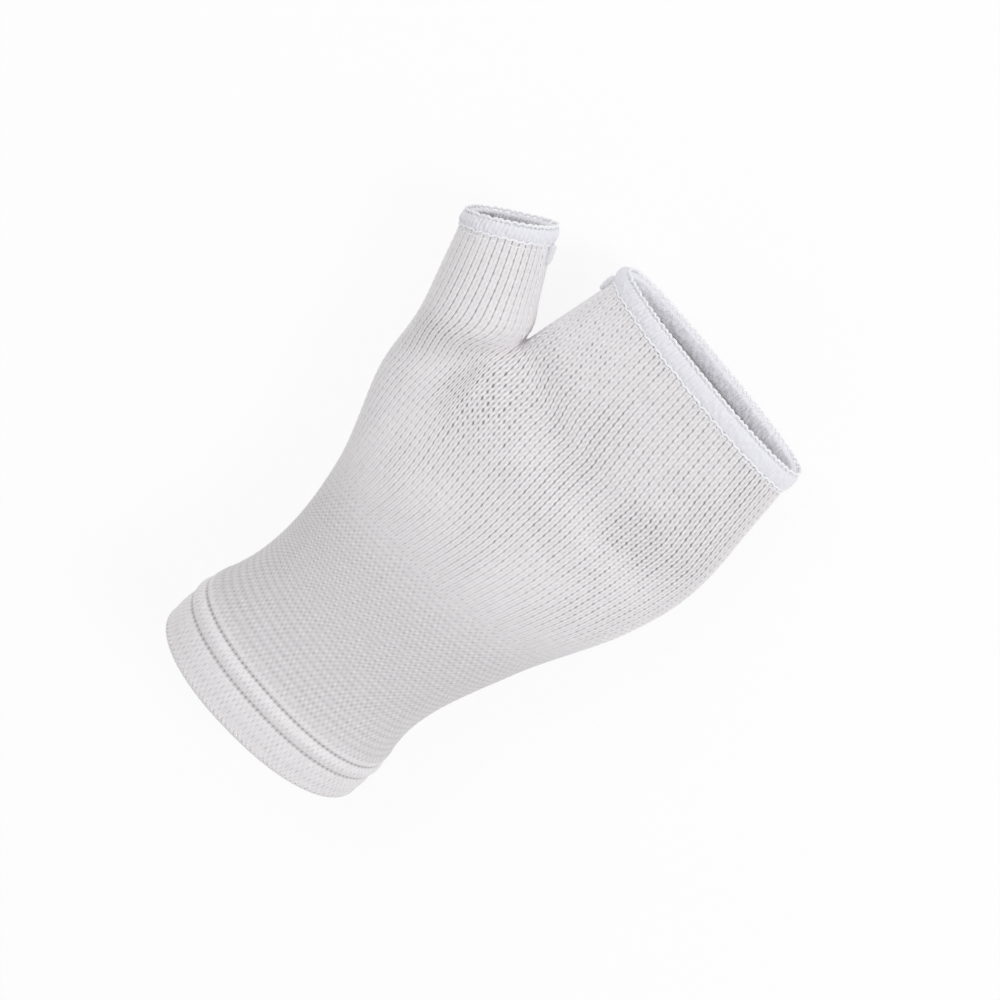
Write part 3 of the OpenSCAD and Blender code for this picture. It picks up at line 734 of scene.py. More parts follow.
def end_tree(graph, entry, geometry):
    """Realizes instances, sets the material and closes a Geometry Nodes tree."""
    real = graph.node("GeometryNodeRealizeInstances", geometry)
    return end_group(graph, graph.node("GeometryNodeSetMaterial", real,
                                       Material=entry["Material"]))


def bake(piece, tree, crease=0.0, **inputs):
    """Runs a Geometry Nodes tree on a piece and keeps the result as a plain mesh, whose edges
    are sharp beyond the angle crease."""
    modifier = piece.modifiers.new(tree.name, "NODES")
    modifier.node_group = tree
    for item in tree.interface.items_tree:
        key = item.name.replace(" ", "_")
        if item.in_out == "INPUT" and key in inputs:
            modifier[item.identifier] = inputs[key]
    graph = bpy.context.evaluated_depsgraph_get()
    mesh = bpy.data.meshes.new_from_object(piece.evaluated_get(graph))
    piece.modifiers.clear()
    before, piece.data = piece.data, mesh
    bpy.data.meshes.remove(before)
    mesh.name = piece.name
    mesh.polygons.foreach_set("use_smooth", np.ones(len(mesh.polygons), bool))
    if crease:
        mesh.set_sharp_from_angle(angle=crease)
    return piece


# ---------------------------------------------------------------- node trees of the cloth

def moved_out(graph, entry, lift):
    """The geometry that enters the tree, with its points moved along their face_normal by lift."""
    normal = graph.node("GeometryNodeInputNamedAttribute", "face_normal", data_type="FLOAT_VECTOR")
    offset = graph.node("ShaderNodeVectorMath", normal, operation="SCALE", Scale=lift)
    return graph.node("GeometryNodeSetPosition", entry["Geometry"], None, None, offset)


@cache
def relief_tree():
    """Raises the stitches of a smooth piece of cloth out of its wale and course numbers, and
    stores as height the painted shade of their hollows.
    """
    graph, entry = geometry_tree("Knit relief", {
        key: ("NodeSocketFloat", default) for key, default in (
            ("Relief", 0.5 * MM), ("Inner relief", 0.2 * MM), ("Line", 0.5), ("Cross line", 0.13),
            ("Pit", 0.85), ("Rib", 0.1), ("Dimple", 0.37), ("Leg", 0.12), ("Slant", 0.35),
            ("Unevenness", 0.3), ("Row depth", 0.5 * MM))})
    wale, course, lined, taut, row, open_, bold, outside = (graph.attribute(key) for key in (
        "wale", "course", "lined", "taut", "row", "open", "bold", "outside"))

    def absolute(wire):
        return graph.math("ABSOLUTE", wire)

    def nearest(wire):
        """Signed distance to the nearest whole number."""
        return graph.math("FRACT", wire + 0.5) - 0.5

    def hump(away, width):
        away = away / width
        return graph.math("EXPONENT", away * away * -1)

    def wave(wire):
        """A wave with its crests at the whole numbers."""
        return graph.math("COSINE", wire * (2 * math.pi))

    def noise(scale):
        spot = graph.node("ShaderNodeCombineXYZ", absolute(wale) * scale, course * scale, 0.0)
        return graph.node("ShaderNodeTexNoise", spot, noise_dimensions="2D", Scale=1.0, Detail=1.0)

    uneven = (noise(0.63) - 0.5) * entry["Unevenness"]
    patch = graph.ramp(noise(0.09), 0.35, 0.65, 0.85, 1.15)
    cell = graph.node("ShaderNodeCombineXYZ", absolute(graph.math("ROUND", wale)),
                      graph.math("FLOOR", course), 0.0)
    chance = graph.node("ShaderNodeTexWhiteNoise", cell, noise_dimensions="2D") * 0.9 + 0.4

    across = nearest(wale + uneven * 0.12)
    middle = 0.5 - absolute(across)
    along = nearest(course + 0.5 + uneven * 0.3)
    border = nearest(course + uneven * 0.3)
    legs = wave(wale * 2 + course) * 0.5 + 0.5
    pits = hump(across - along * entry["Slant"], 0.11) * hump(along, 0.21) * chance * patch
    dimples = (hump(middle, 0.09) * 0.65 + hump(middle, 0.14) * hump(border, 0.24) * 0.8) * patch
    # Open knit: grooves between wales, lines between courses, pits, dimples and the loops' legs
    loops = 1 - bold * (hump(across, 0.07) * entry["Line"] * (0.35 + lined * 0.65) * patch
                        + hump(along, 0.2) * entry["Cross line"]
                        + pits * entry["Pit"] * (1 - lined * 0.8)
                        + dimples * entry["Dimple"] * (1 - lined * 0.45) + legs * entry["Leg"])
    # Closed knit of the wrist: a fine rib, with a grain of single stitches
    grain = wave(wale + uneven * 0.3) * wave(course + uneven * 0.3) * chance
    plain = 0.64 - grain * 0.12 - hump(border, 0.26) * entry["Rib"]
    shown = loops * open_ + plain * (1 - open_)
    # Taut knit: stitches pulled nearly flat
    fine = 0.96 - hump(across, 0.14) * 0.2 - hump(middle, 0.14) * 0.15 - legs * 0.06 - grain * 0.15
    shown = graph.math("MAXIMUM", shown * (1 - taut) + fine * taut, 0.0)

    height = (shown - 1) * entry["Relief"] + uneven * 0.12 * MM - row * entry["Row depth"]
    inner = absolute(graph.math("SINE", course * math.pi)) * entry["Inner relief"]
    lift = height * outside + inner * (1 - outside)
    # Painted shade for the colour: low in the stitches' pits, grooves and lines and in the hem
    # rows' grooves and needle holes, a little lower on the inner face; it is stored as height
    painted_shade = shown * (1 - graph.math("MAXIMUM", row, 0.0) * 0.6) * outside + (1 - outside) * 0.8
    cloth = graph.node("GeometryNodeStoreNamedAttribute", moved_out(graph, entry, lift), None,
                       "height", painted_shade, data_type="FLOAT", domain="POINT")
    return end_tree(graph, entry, cloth)


@cache
def wrap_tree():
    """Raises the slanted turns of thread on a band out of its stitch and across numbers."""
    graph, entry = geometry_tree("Thread wraps", {
        key: ("NodeSocketFloat", default) for key, default in (
            ("Ridge", 0.2 * MM), ("Turns", 1.0), ("Slant", 0.5), ("Fluff", 0.3 * MM),
            ("Strands", 4.0), ("Strand depth", 0.05 * MM))})
    stitch, across = graph.attribute("stitch"), graph.attribute("across")
    place = graph.node("GeometryNodeInputPosition")
    fluff = graph.node("ShaderNodeTexNoise", place, Scale=900.0, Detail=2.0) - 0.5
    phase = stitch * entry["Turns"] + across * entry["Slant"] + fluff * 0.3
    ridge = graph.math("ABSOLUTE", graph.math("SINE", phase * math.pi)) ** 0.6
    strands = graph.math("SINE", phase * entry["Strands"] * (2 * math.pi))
    middle = graph.ramp(across, 0.0, 0.08) * graph.ramp(across, 1.0, 0.92)
    height = (ridge - 1) * entry["Ridge"] + strands * entry["Strand depth"] + fluff * entry["Fluff"]
    return end_tree(graph, entry, moved_out(graph, entry, height * middle))


@cache
def thread_tree():
    """Draws a round thread along each guide line."""
    graph, entry = geometry_tree("Thread", {
        "Radius": ("NodeSocketFloat", 0.3 * MM), "Sides": ("NodeSocketInt", 6)})
    line = graph.node("GeometryNodeMeshToCurve", entry["Geometry"])
    ring = graph.node("GeometryNodeCurvePrimitiveCircle", entry["Sides"], Radius=entry["Radius"])
    tube = graph.node("GeometryNodeCurveToMesh", line, ring, Fill_Caps=True)
    return end_tree(graph, entry, tube)


# ---------------------------------------------------------------- materials

def new_material(name):
    material = bpy.data.materials.new(name)
    material.use_nodes = True
    graph = Graph(material.node_tree)
    shader = material.node_tree.nodes["Principled BSDF"]
    return material, graph, shader


@cache
def fibre_group():
    """Fine fibres: a height and a brightness that vary over the surface."""
    graph, entry = new_group("Fibres", "ShaderNodeTree", {
        "Scale": ("NodeSocketFloat", 3000.0), "Tuft size": ("NodeSocketFloat", 4.0)},
        {"Height": "NodeSocketFloat", "Shade": "NodeSocketFloat"})
    place = graph.node("ShaderNodeTexCoord", out="Object")
    fine = graph.node("ShaderNodeTexNoise", place, Scale=entry["Scale"], Detail=3.0,
                      Roughness=0.6)
    broad = graph.node("ShaderNodeTexNoise", place, Scale=entry["Scale"] / entry["Tuft size"],
                       Detail=2.0)
    return end_group(graph, fine, graph.ramp(broad * 0.5 + fine * 0.5, 0.35, 0.65))


def cloth_material(name, finish, roughness, sheen, bump, fibre_scale, hollows):
    """Knit or thread: colour by fibre grain and, where it has hollows, painted shade by the stored
    height; a soft sheen, and a fibre bump."""
    material, graph, shader = new_material(name)
    colours = bpy.context.scene.sleeve_finish
    light, dark = (getattr(colours, key) for key in (finish, finish + "_hollow"))
    fibres = graph.node("ShaderNodeGroup", node_tree=fibre_group(), Scale=fibre_scale)
    height, shade = (Wire(graph, socket) for socket in fibres.socket.node.outputs)
    grain_and_painted_shade = shade * 0.1 + 0.9
    # Painted shade: where the stored height is low, in the knit's pits, grooves and hem rows, the
    # colour goes towards the dark one
    if hollows:
        grain_and_painted_shade = grain_and_painted_shade * graph.ramp(graph.attribute("height"), 0.0, 0.95, 0.1, 1.0)
    # The dark colour is painted shade in the knit's hollows, and elsewhere the dark end of the
    # fibre grain
    before_colours = [None] * 5
    blend = graph.node("ShaderNodeMix", grain_and_painted_shade, *before_colours, dark, light, data_type="RGBA",
                       out=2)
    bumps = graph.node("ShaderNodeBump", bump, 0.0001, Height=height)
    for key, value in (("Base Color", blend), ("Normal", bumps), ("Roughness", roughness),
                       ("Specular IOR Level", 0.25), ("Sheen Weight", sheen),
                       ("Sheen Roughness", 0.5)):
        graph.join(shader.inputs[key], value)
    return material


@cache
def knit_cloth():
    return cloth_material("knit_cotton", "knit", 0.85, 0.35, 0.5, 2600.0, True)


@cache
def looper_thread():
    return cloth_material("looper_thread", "looper", 0.7, 0.4, 0.4, 3200.0, False)


def plain_finish(slot):
    """The construction's own material of a slot, which is one plain colour."""
    return bpy.data.materials[slot]


# ---------------------------------------------------------------- workshop: what all pieces share

class Workshop:
    """The settings, the surface that lies where the construction does, and the stitch grid."""

    def __init__(self, scene):
        self.sizes, self.knit = scene.sleeve_sizes, scene.sleeve_knit
        self.thread = scene.sleeve_thread
        self.sleeve = Sleeve(self.sizes)
        self.set_down()
        self.grid = StitchGrid(self.sleeve, self.knit)

    def set_down(self):
        """Moves the surface to where the construction lies: its plan box and its floor."""
        sleeve, edge = self.sleeve, self.sizes.edging_wrap + self.sizes.gap
        low, high = (Vector(c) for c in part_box("knit_sleeve"))
        stations, facets = 60, 180
        parts, turns = (np.linspace(0, end, facets + 1) for end in (2, math.pi))
        rings = []
        for face in (1, -1):
            rings += [sleeve.trunk(at, parts, face)
                      for at in np.linspace(0, sleeve.fork_at, stations)]
            rings += [sleeve.limb(limb, run - edge, turns, face)
                      for limb, run in sleeve.run.items()]
        points = np.concatenate(rings)
        middle = (points.min(0) + points.max(0)) / 2
        sleeve.origin = np.array([middle[0] - (low.x + high.x) / 2,
                                  middle[1] - (low.y + high.y) / 2,
                                  points[:, 2].min() - low.z])


@cache
def workshop():
    return Workshop(bpy.context.scene)


def finish_piece(piece, node):
    """Rides the piece on the sleeve's body in place of its plain construction node."""
    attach(piece, BODY)
    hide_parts(node)


# ---------------------------------------------------------------- knit

# Lines of a stitch across and along it, as shares of the stitch
STITCH_U = np.array([0, 0.07, 0.16, 0.3, 0.5, 0.7, 0.84, 0.93])
STITCH_V = np.arange(6) / 6
# Patches where pits show more than the grooves between the wales: their wale, their course
# counted from the fork, how many courses they reach, and how strong they are
PITTED = ((38, -8, 5, 0.65), (12, -4, 10, 0.3), (34, 9, 8, 0.5))
PITTED_WALES = 6
# Where the look of the knit changes, each with its start and its reach.  Courses count from the
# fork and wales from the fork's wale.
FINGER_COURSES, THUMB_COURSES = (0, 8), (-5, 8)
TAUT_COURSES, BOLDER_COURSES = (-3, 4), (-18, 16)
THUMB_BALL = (3, 7)
HEM_END, OPENING_KNIT = (-1 * MM, 2 * MM), (53 * MM, 29 * MM)
# How far the web's fainter stitches and its taut ones reach to each side of the fork, in wales
WEB_WALES, TAUT_WALES = 12, 2.6
# How lined the wales are, and how much of the rest is added at the ball of the thumb
LINED, BALL_LINED = 0.75, 0.5
# How taut the knit is over the hem and beside the web
HEM_TAUT, WEB_TAUT = 0.8, 0.85
# How much fainter the stitches are in each region, and how bold they are at the wrist and the hand
FINGER_FAINT, WEB_FAINT, THUMB_FAINT, BALL_FAINT = 0.05, 0.35, 0.25, 0.15
WRIST_BOLD, HAND_BOLD = 0.95, 1.2
# The puffs of the hem: how high they stand before, between and after its two stitch rows, where
# the first one begins and how long the last one is
HEM_PUFFS = (0.45, 1.0, 0.55)
FIRST_PUFF, LAST_PUFF = 0.5 * MM, 5 * MM


def stitch_lines(first, last, offsets):
    """Grid lines from stitch first to stitch last, at each of the offsets in every stitch."""
    lines = (np.arange(first, last)[:, None] + offsets).ravel()
    return np.append(lines, last)


def rim(index):
    """Point numbers round the border of a grid."""
    return np.concatenate([index[0, :-1], index[:-1, -1], index[-1, :0:-1], index[:0:-1, 0]])


def slab_faces(shape, face):
    """Faces of a closed slab: a fine grid, one of every second line under it, and the rim."""
    top = np.arange(shape[0] * shape[1]).reshape(shape)
    small = top[::2, ::2].shape
    under = top.size + np.arange(small[0] * small[1]).reshape(small)
    a, b, c = rim(top)[0::2], rim(top)[1::2], np.roll(rim(top), -2)[0::2]
    p, q = rim(under), np.roll(rim(under), -1)
    sets = [grid_faces(top)[:, ::-1], grid_faces(under), np.column_stack([p, a, b]),
            np.column_stack([p, b, c, q])]
    return sets if face > 0 else [s[:, ::-1] for s in sets]


def slab_values(outer, inner=None):
    """Values at a slab's points: those of the fine grid, and those of the one under it, which
    are by default the same at every second line."""
    inner = outer[::2, ::2] if inner is None else inner
    return np.concatenate([a.reshape(-1, *a.shape[2:]) for a in (outer, inner)])


def cloth_slab(name, limb, face, first, last):
    """A closed piece of cloth: the outer face stitch by stitch, and a plainer inner face."""
    shop = workshop()
    grid, z = shop.grid, shop.sizes
    courses = stitch_lines(first, last, STITCH_V)
    if last == grid.courses[limb]:
        edge = (z.edging_wrap + z.gap) / shop.sleeve.run[limb] * (last - grid.fork)
        courses = np.minimum(courses, last - edge)
    wales = stitch_lines(0, grid.wales[limb], STITCH_U)
    outer, normals = grid.sample(limb, face, courses, wales)
    inner = (outer - z.wall * normals)[::2, ::2]
    wale, course = (slab_values(number) for number in np.meshgrid(wales, courses))
    before = 0 if limb == "finger" else grid.wales["finger"]
    values = cloth_values(limb, (wale + before) * face, course)
    values["outside"] = slab_values(np.ones(outer.shape[:2]), np.zeros(inner.shape[:2]))
    values["face_normal"] = slab_values(normals)
    piece = make_mesh(name, slab_values(outer, inner), slab_faces(outer.shape[:2], face), values)
    return bake(piece, relief_tree(), math.radians(75), Relief=shop.knit.relief,
                Material=knit_cloth())


def cloth_values(limb, wale, course):
    """What the relief reads at each place of the cloth: how far its wales are lined, how taut
    and how open the knit is, how bold its stitches are, and the hem rows."""
    shop = workshop()
    grid, z = shop.grid, shop.sizes
    at, past_fork = grid.place(course), course - grid.fork
    beside = np.abs(wale) - grid.wales["finger"]
    pitted = sum(bell(np.abs(wale) - middle, PITTED_WALES) * bell(past_fork - place, reach) * deep
                 for middle, place, reach, deep in PITTED)
    lined = LINED - pitted
    taut = HEM_TAUT * (1 - rising(at - z.hem_height, *HEM_END))
    past = rising(past_fork, *FINGER_COURSES)
    bold = 1 - past * (FINGER_FAINT + WEB_FAINT * bell(beside, WEB_WALES))
    if limb == "thumb":
        past = rising(past_fork, *THUMB_COURSES)
        ball = rising(beside, *THUMB_BALL)
        bold = 1 - np.maximum(THUMB_FAINT * past, BALL_FAINT * ball * (1 - past))
        lined = mix(lined, 1, np.maximum(past, BALL_LINED * ball))
        web = WEB_TAUT * bell(beside, TAUT_WALES) * rising(past_fork, *TAUT_COURSES)
        taut = np.maximum(taut, web)
    bold = bold * mix(WRIST_BOLD, HAND_BOLD, rising(past_fork, *BOLDER_COURSES))
    return {"wale": wale, "course": course, "lined": lined, "taut": taut, "bold": bold,
            "open": rising(at, *OPENING_KNIT), "row": hem_rows(at, wale)}


def hem_rows(at, wale):
    """1 in the groove of a hem stitch row, more at its needle holes, less on the puffs by it.
    The relief sinks the cloth by it and paints shade into the groove and the holes.
    """
    shop = workshop()
    z, step = shop.sizes, shop.thread.hem_wales
    first, second = z.hem_row_1, z.hem_row_1 + z.hem_row_gap
    holes = 0.5 + 0.5 * np.cos(2 * math.pi * wale / step)
    ends = (FIRST_PUFF, first, second, second + LAST_PUFF)
    puffs = sum(np.where((at > a) & (at < b), np.sin(math.pi * (at - a) / (b - a)) ** 2, 0) * high
                for a, b, high in zip(ends, ends[1:], HEM_PUFFS))
    grooves = bell(at - first, 0.3 * MM) + bell(at - second, 0.3 * MM)
    return grooves * (0.82 + 0.2 * holes ** 2) - puffs


def declare_cloth(corners):
    """Reads the knit's relaxed share: the knit is worn stretched across its wales, so the flat
    piece is narrower.  No sheet is declared, and the corners are not used."""
    relaxed = workshop().knit.relaxed


class SLEEVE_OT_knit(bpy.types.Operator):
    """Knits the sleeve: closed pieces of cloth that meet along wales and courses"""

    bl_idname = "sleeve.knit"
    bl_label = "Knit cloth"

    HAND_COURSE, FINGER_COURSE = 22, 44

    def execute(self, context):
        courses = workshop().grid.courses
        cuts = [0, self.HAND_COURSE, self.FINGER_COURSE, courses["finger"]]
        for face, side in ((1, "palm"), (-1, "back")):
            for part, first, last in zip(("wrist", "hand", "finger"), cuts, cuts[1:]):
                self.panel(f"{side}_{part}_knit", "finger", face, first, last)
            self.panel(f"{side}_thumb_knit", "thumb", face, 0, courses["thumb"])
        return {"FINISHED"}

    def panel(self, name, limb, face, first, last):
        """One piece of the knit, from course first to course last."""
        grid = workshop().grid
        piece = cloth_slab(name, limb, face, first, last)
        finish_piece(piece, "knit_sleeve")
        declare_cloth(grid.spots[grid.index[limb, face][first:last + 1]])


# ---------------------------------------------------------------- edges, seams and yarns

class Opening:
    """Points round an opening: by depth from its edge, turn round it (0 to 1) and inset."""

    ANGLES = np.linspace(0, 2 * math.pi, 721)
    SEAM_REACH = 0.03

    def __init__(self, name):
        self.name, self.sleeve = name, workshop().sleeve
        gone = walked(self.by_angle(np.zeros(len(self.ANGLES)), self.ANGLES, 0.0))
        self.girth, self.turns = gone[-1], gone / gone[-1]

    def by_angle(self, depth, angle, inset):
        sleeve = self.sleeve
        half = np.where(angle <= math.pi, angle, 2 * math.pi - angle)
        face = np.where(angle <= math.pi, 1, -1)
        if self.name in sleeve.run:
            face = -face if self.name == "thumb" else face
            return sleeve.limb(self.name, sleeve.run[self.name] - depth, half, face, inset)
        fork = sleeve.FORK_ANGLE
        part = np.where(half <= fork, half / fork, 1 + (half - fork) / (math.pi - fork))
        return sleeve.trunk(depth, part, face, inset)

    def points(self, depth, turn, inset):
        depth, turn, inset = (a.ravel() for a in np.broadcast_arrays(
            np.asarray(depth, float), turn, inset))
        return self.by_angle(depth, np.interp(turn % 1, self.turns, self.ANGLES), inset)

    def rows(self, profile, count, swell=0.0, past=0.0):
        """count sections round the opening, of (depth, inset) pairs.  What stands proud grows
        by the share swell where the fork seam ends, or a turn past it."""
        turns = np.arange(count)[:, None] / count
        grown = 1 + swell * bell(turns - 0.5 - past, self.SEAM_REACH)
        inset = np.where(profile[:, 1] < 0, profile[:, 1] * grown, profile[:, 1])
        return self.points(profile[:, 0], turns, inset).reshape(count, len(profile), 3)


def shaped(corners, count):
    """A smooth open curve through corners, as count points."""
    rows = with_ghosts(np.asarray(corners, float))
    return spline_rows(rows, np.linspace(0, len(corners) - 1, count) - 1e-9 * np.arange(count))


def solid_rows(name, rows, values, closed):
    """A solid swept along rows of section points: a ring, or a bar closed at both ends."""
    count, size = rows.shape[:2]
    index = np.arange(count * size).reshape(count, size)
    if closed:
        index = np.concatenate([index, index[:1]])
    sets = [grid_faces(np.column_stack([index, index[:, :1]]))]
    around = np.roll(rows, -1, 1) - np.roll(rows, 1, 1)
    along = (np.roll(rows, -1, 0) - np.roll(rows, 1, 0)) if closed else np.gradient(rows, axis=0)
    normals = unit(np.cross(along, around))
    points = rows.reshape(-1, 3)
    if not closed:
        points = np.concatenate([points, rows[[0, -1]].mean(1)])
        for row, tip, step in ((index[0], len(points) - 2, -1), (index[-1], len(points) - 1, 1)):
            sets.append(np.column_stack([row, np.roll(row, -step), np.full(size, tip)]))
    quad = points[sets[0]]
    volume = np.einsum("ij,ij->i", quad[:, 0], np.cross(quad[:, 1], quad[:, 2])
                       + np.cross(quad[:, 2], quad[:, 3])).sum()
    if volume < 0:
        sets = [s[:, ::-1] for s in sets]
    centre = rows.mean(1, keepdims=True)
    outward = np.einsum("ijk,ijk->", normals, rows - centre)
    normals = (normals * (1 if outward > 0 else -1)).reshape(-1, 3)
    values = {key: np.broadcast_to(value, (count, size)).ravel() for key, value in values.items()}
    if not closed:
        normals = np.concatenate([normals, np.zeros((2, 3))])
        values = {key: np.append(value, [0, 0]) for key, value in values.items()}
    return make_mesh(name, points, sets, {**values, "face_normal": normals})


def thread(name, lines, radius, material, sides=6):
    """Round threads along guide lines, each of which is (points, closed)."""
    return bake(line_mesh(name, lines), thread_tree(), Radius=radius, Sides=sides,
                Material=material)


def band_profile(z, width):
    """(depth, inset) round an overlocked band, with a pocket that holds the knit."""
    crown, wall = z.edging_wrap + z.gap / 2, z.wall
    outer = np.array([(1.0, 0.0), (0.9, 0.5), (0.7, 0.85), (0.48, 1.0), (0.26, 0.92),
                      (0.1, 0.58)]) * [width, -crown]
    inner = outer[::-1] * [1, -1] + [0, wall]
    skin = shaped(np.concatenate([outer, [(0, wall / 2)], inner]), 27)
    near, far, play = width - 0.3 * MM, z.edging_wrap + z.gap, 0.02 * MM
    pocket = [(near, wall + play), (far, wall + play), (far, -play), (near, -play)]
    across = np.append(np.linspace(0, 1, len(skin)), np.zeros(len(pocket)))
    return np.concatenate([skin, pocket]), across


def overlock(name, ridge, trim, swell, past):
    """The looper threads of an edge: the wrapped band and the threads along its two borders."""
    shop = workshop()
    opening, z, sewn = Opening(name), shop.sizes, shop.thread
    band_steps, border_steps = 24, 16
    stitches = round(opening.girth / z.edging_pitch)
    width = z.edging_width - trim
    profile, across = band_profile(z, width)
    rows = opening.rows(profile, stitches * band_steps, swell, past)
    stitch = np.arange(len(rows))[:, None] / band_steps
    band = solid_rows(f"{name}_edge_band", rows, {"stitch": stitch, "across": across}, True)
    bake(band, wrap_tree(), Ridge=ridge, Turns=2.0, Slant=sewn.slant, Strands=sewn.strands,
         Strand_depth=0.03 * MM, Fluff=0.8 * MM,
         Material=plain_finish("overlock_thread"))
    turn = np.arange(stitches * border_steps) / (stitches * border_steps)
    phase = 2 * math.pi * turn * stitches
    drift = (np.sin(phase * 0.37 + 2 * np.sin(2 * math.pi * turn * 5))
             * smooth_step(20 * turn) * smooth_step(20 * (1 - turn)))
    inner = opening.points(width + (0.02 + 0.15 * np.sin(phase) + 0.12 * drift) * MM, turn,
                           -(0.14 + 0.06 * np.cos(phase)) * MM)
    loops = round(opening.girth / sewn.loop_pitch)
    lobes = np.abs(np.sin(math.pi * loops * turn + 0.5 * drift)) ** 0.8
    outer = opening.points((0.12 - 0.55 * lobes) * MM, turn, -(0.2 + 0.12 * lobes) * MM)
    borders = thread(f"{name}_edge_loops", [(inner, True), (outer, True)], sewn.looper,
                     looper_thread())
    for piece in (band, borders):
        finish_piece(piece, f"{name}_edge_overlock")
    return opening, stitches


def needle_stitches(name, opening, stitches):
    """The needle thread beside a band: a short stitch in each loop, its ends in the knit."""
    shop = workshop()
    share = np.array([-0.3, -0.22, 0, 0.22, 0.3])
    sink = np.array([0.5, 0.12, 0.02, 0.12, 0.5]) * MM
    depth = shop.sizes.edging_width + 0.6 * MM
    lines = [(opening.points(depth + share * 0.5 * MM, (n + share) / stitches, sink), False)
             for n in range(stitches)]
    piece = thread(f"{name}_needle_stitches", lines, shop.thread.needle, looper_thread())
    finish_piece(piece, f"{name}_edge_needle_thread")


class SLEEVE_OT_edges(bpy.types.Operator):
    """Overlocks the finger opening and the thumb opening"""

    bl_idname = "sleeve.edges"
    bl_label = "Overlocked edges"

    def execute(self, context):
        sewn = context.scene.sleeve_thread
        needle_stitches("finger", *overlock("finger", sewn.finger_ridge, sewn.finger_trim,
                                            swell=1.6, past=0.02))
        needle_stitches("thumb", *overlock("thumb", sewn.thumb_ridge, sewn.thumb_trim,
                                           swell=0.4, past=0.0))
        return {"FINISHED"}


class SLEEVE_OT_hem(bpy.types.Operator):
    """Turns the wrist hem in and sews its two rows"""

    bl_idname = "sleeve.hem"
    bl_label = "Wrist hem"

    def execute(self, context):
        self.turned_hem()
        z = workshop().sizes
        for name, depth in (("outer", z.hem_row_1), ("inner", z.hem_row_1 + z.hem_row_gap)):
            finish_piece(self.stitches(name, depth), f"hem_stitch_row_{name}")
        return {"FINISHED"}

    def turned_hem(self):
        """The fold at the wrist edge and the second layer, which lies inside the knit."""
        shop = workshop()
        wales, z = shop.grid.wales, shop.sizes
        wall, under, inner = z.wall, z.wall + z.gap, 2 * z.wall + z.gap
        fold = shaped([(0.1 * MM, 0), (-0.55 * wall, 0.16 * wall), (-wall, inner / 2),
                       (-0.55 * wall, inner - 0.16 * wall), (0.1 * MM, inner)], 15)
        down = np.linspace(0, 1, 12)[1:, None] * [z.hem_height, 0]
        profile = np.concatenate([fold, fold[-1] + down, [(z.hem_height, under)],
                                  [(0, under), (0, 0.3 * wall)]])
        steps, course_pitch = 5, 1.8 * MM
        count = 2 * (wales["finger"] + wales["thumb"]) * steps
        rows = Opening("hem").rows(profile, count)
        piece = solid_rows("turned_hem_knit", rows, {
            "wale": np.arange(count)[:, None] / steps, "course": profile[:, 0] / course_pitch,
            "outside": 1.0, "open": 0.0, "lined": 0.0, "taut": 0.85, "row": 0.0, "bold": 1.0},
            True)
        bake(piece, relief_tree(), Relief=shop.knit.relief, Material=knit_cloth())
        finish_piece(piece, "turned_hem")
        shown = len(fold) + len(down)
        declare_cloth(np.concatenate([rows, rows[:1]])[:, :shown].swapaxes(0, 1))

    def stitches(self, name, depth):
        """A row of stitches whose ends go down at the holes in the groove."""
        shop = workshop()
        grid, step = shop.grid, shop.thread.hem_wales
        numbers = np.arange(grid.fork)
        course = np.interp([depth], grid.place(numbers), numbers)
        share = np.array([0.06, 0.15, 0.5, 0.85, 0.94])
        sink = np.array([1.0, 0.72, 0.6, 0.72, 1.0])[:, None] * MM
        lines = []
        for limb, face in grid.index:
            for first in range(0, grid.wales[limb], step):
                places = np.minimum(first + step * share, grid.wales[limb])
                points, normals = grid.sample(limb, face, course, places)
                lines.append((points[0] - sink * normals[0], False))
        return thread(f"hem_stitches_{name}", lines, shop.thread.hem_thread,
                      plain_finish("hem_thread"))


def bar_rows(middle, out, size, wide, high):
    """Sections along a path: their points lie wide outward and high upward, times size."""
    section = (wide[None, :, None] * out[:, None]
               + high[None, :, None] * np.array([0, 0, 1.0]))
    return middle[:, None] + size[:, None, None] * section


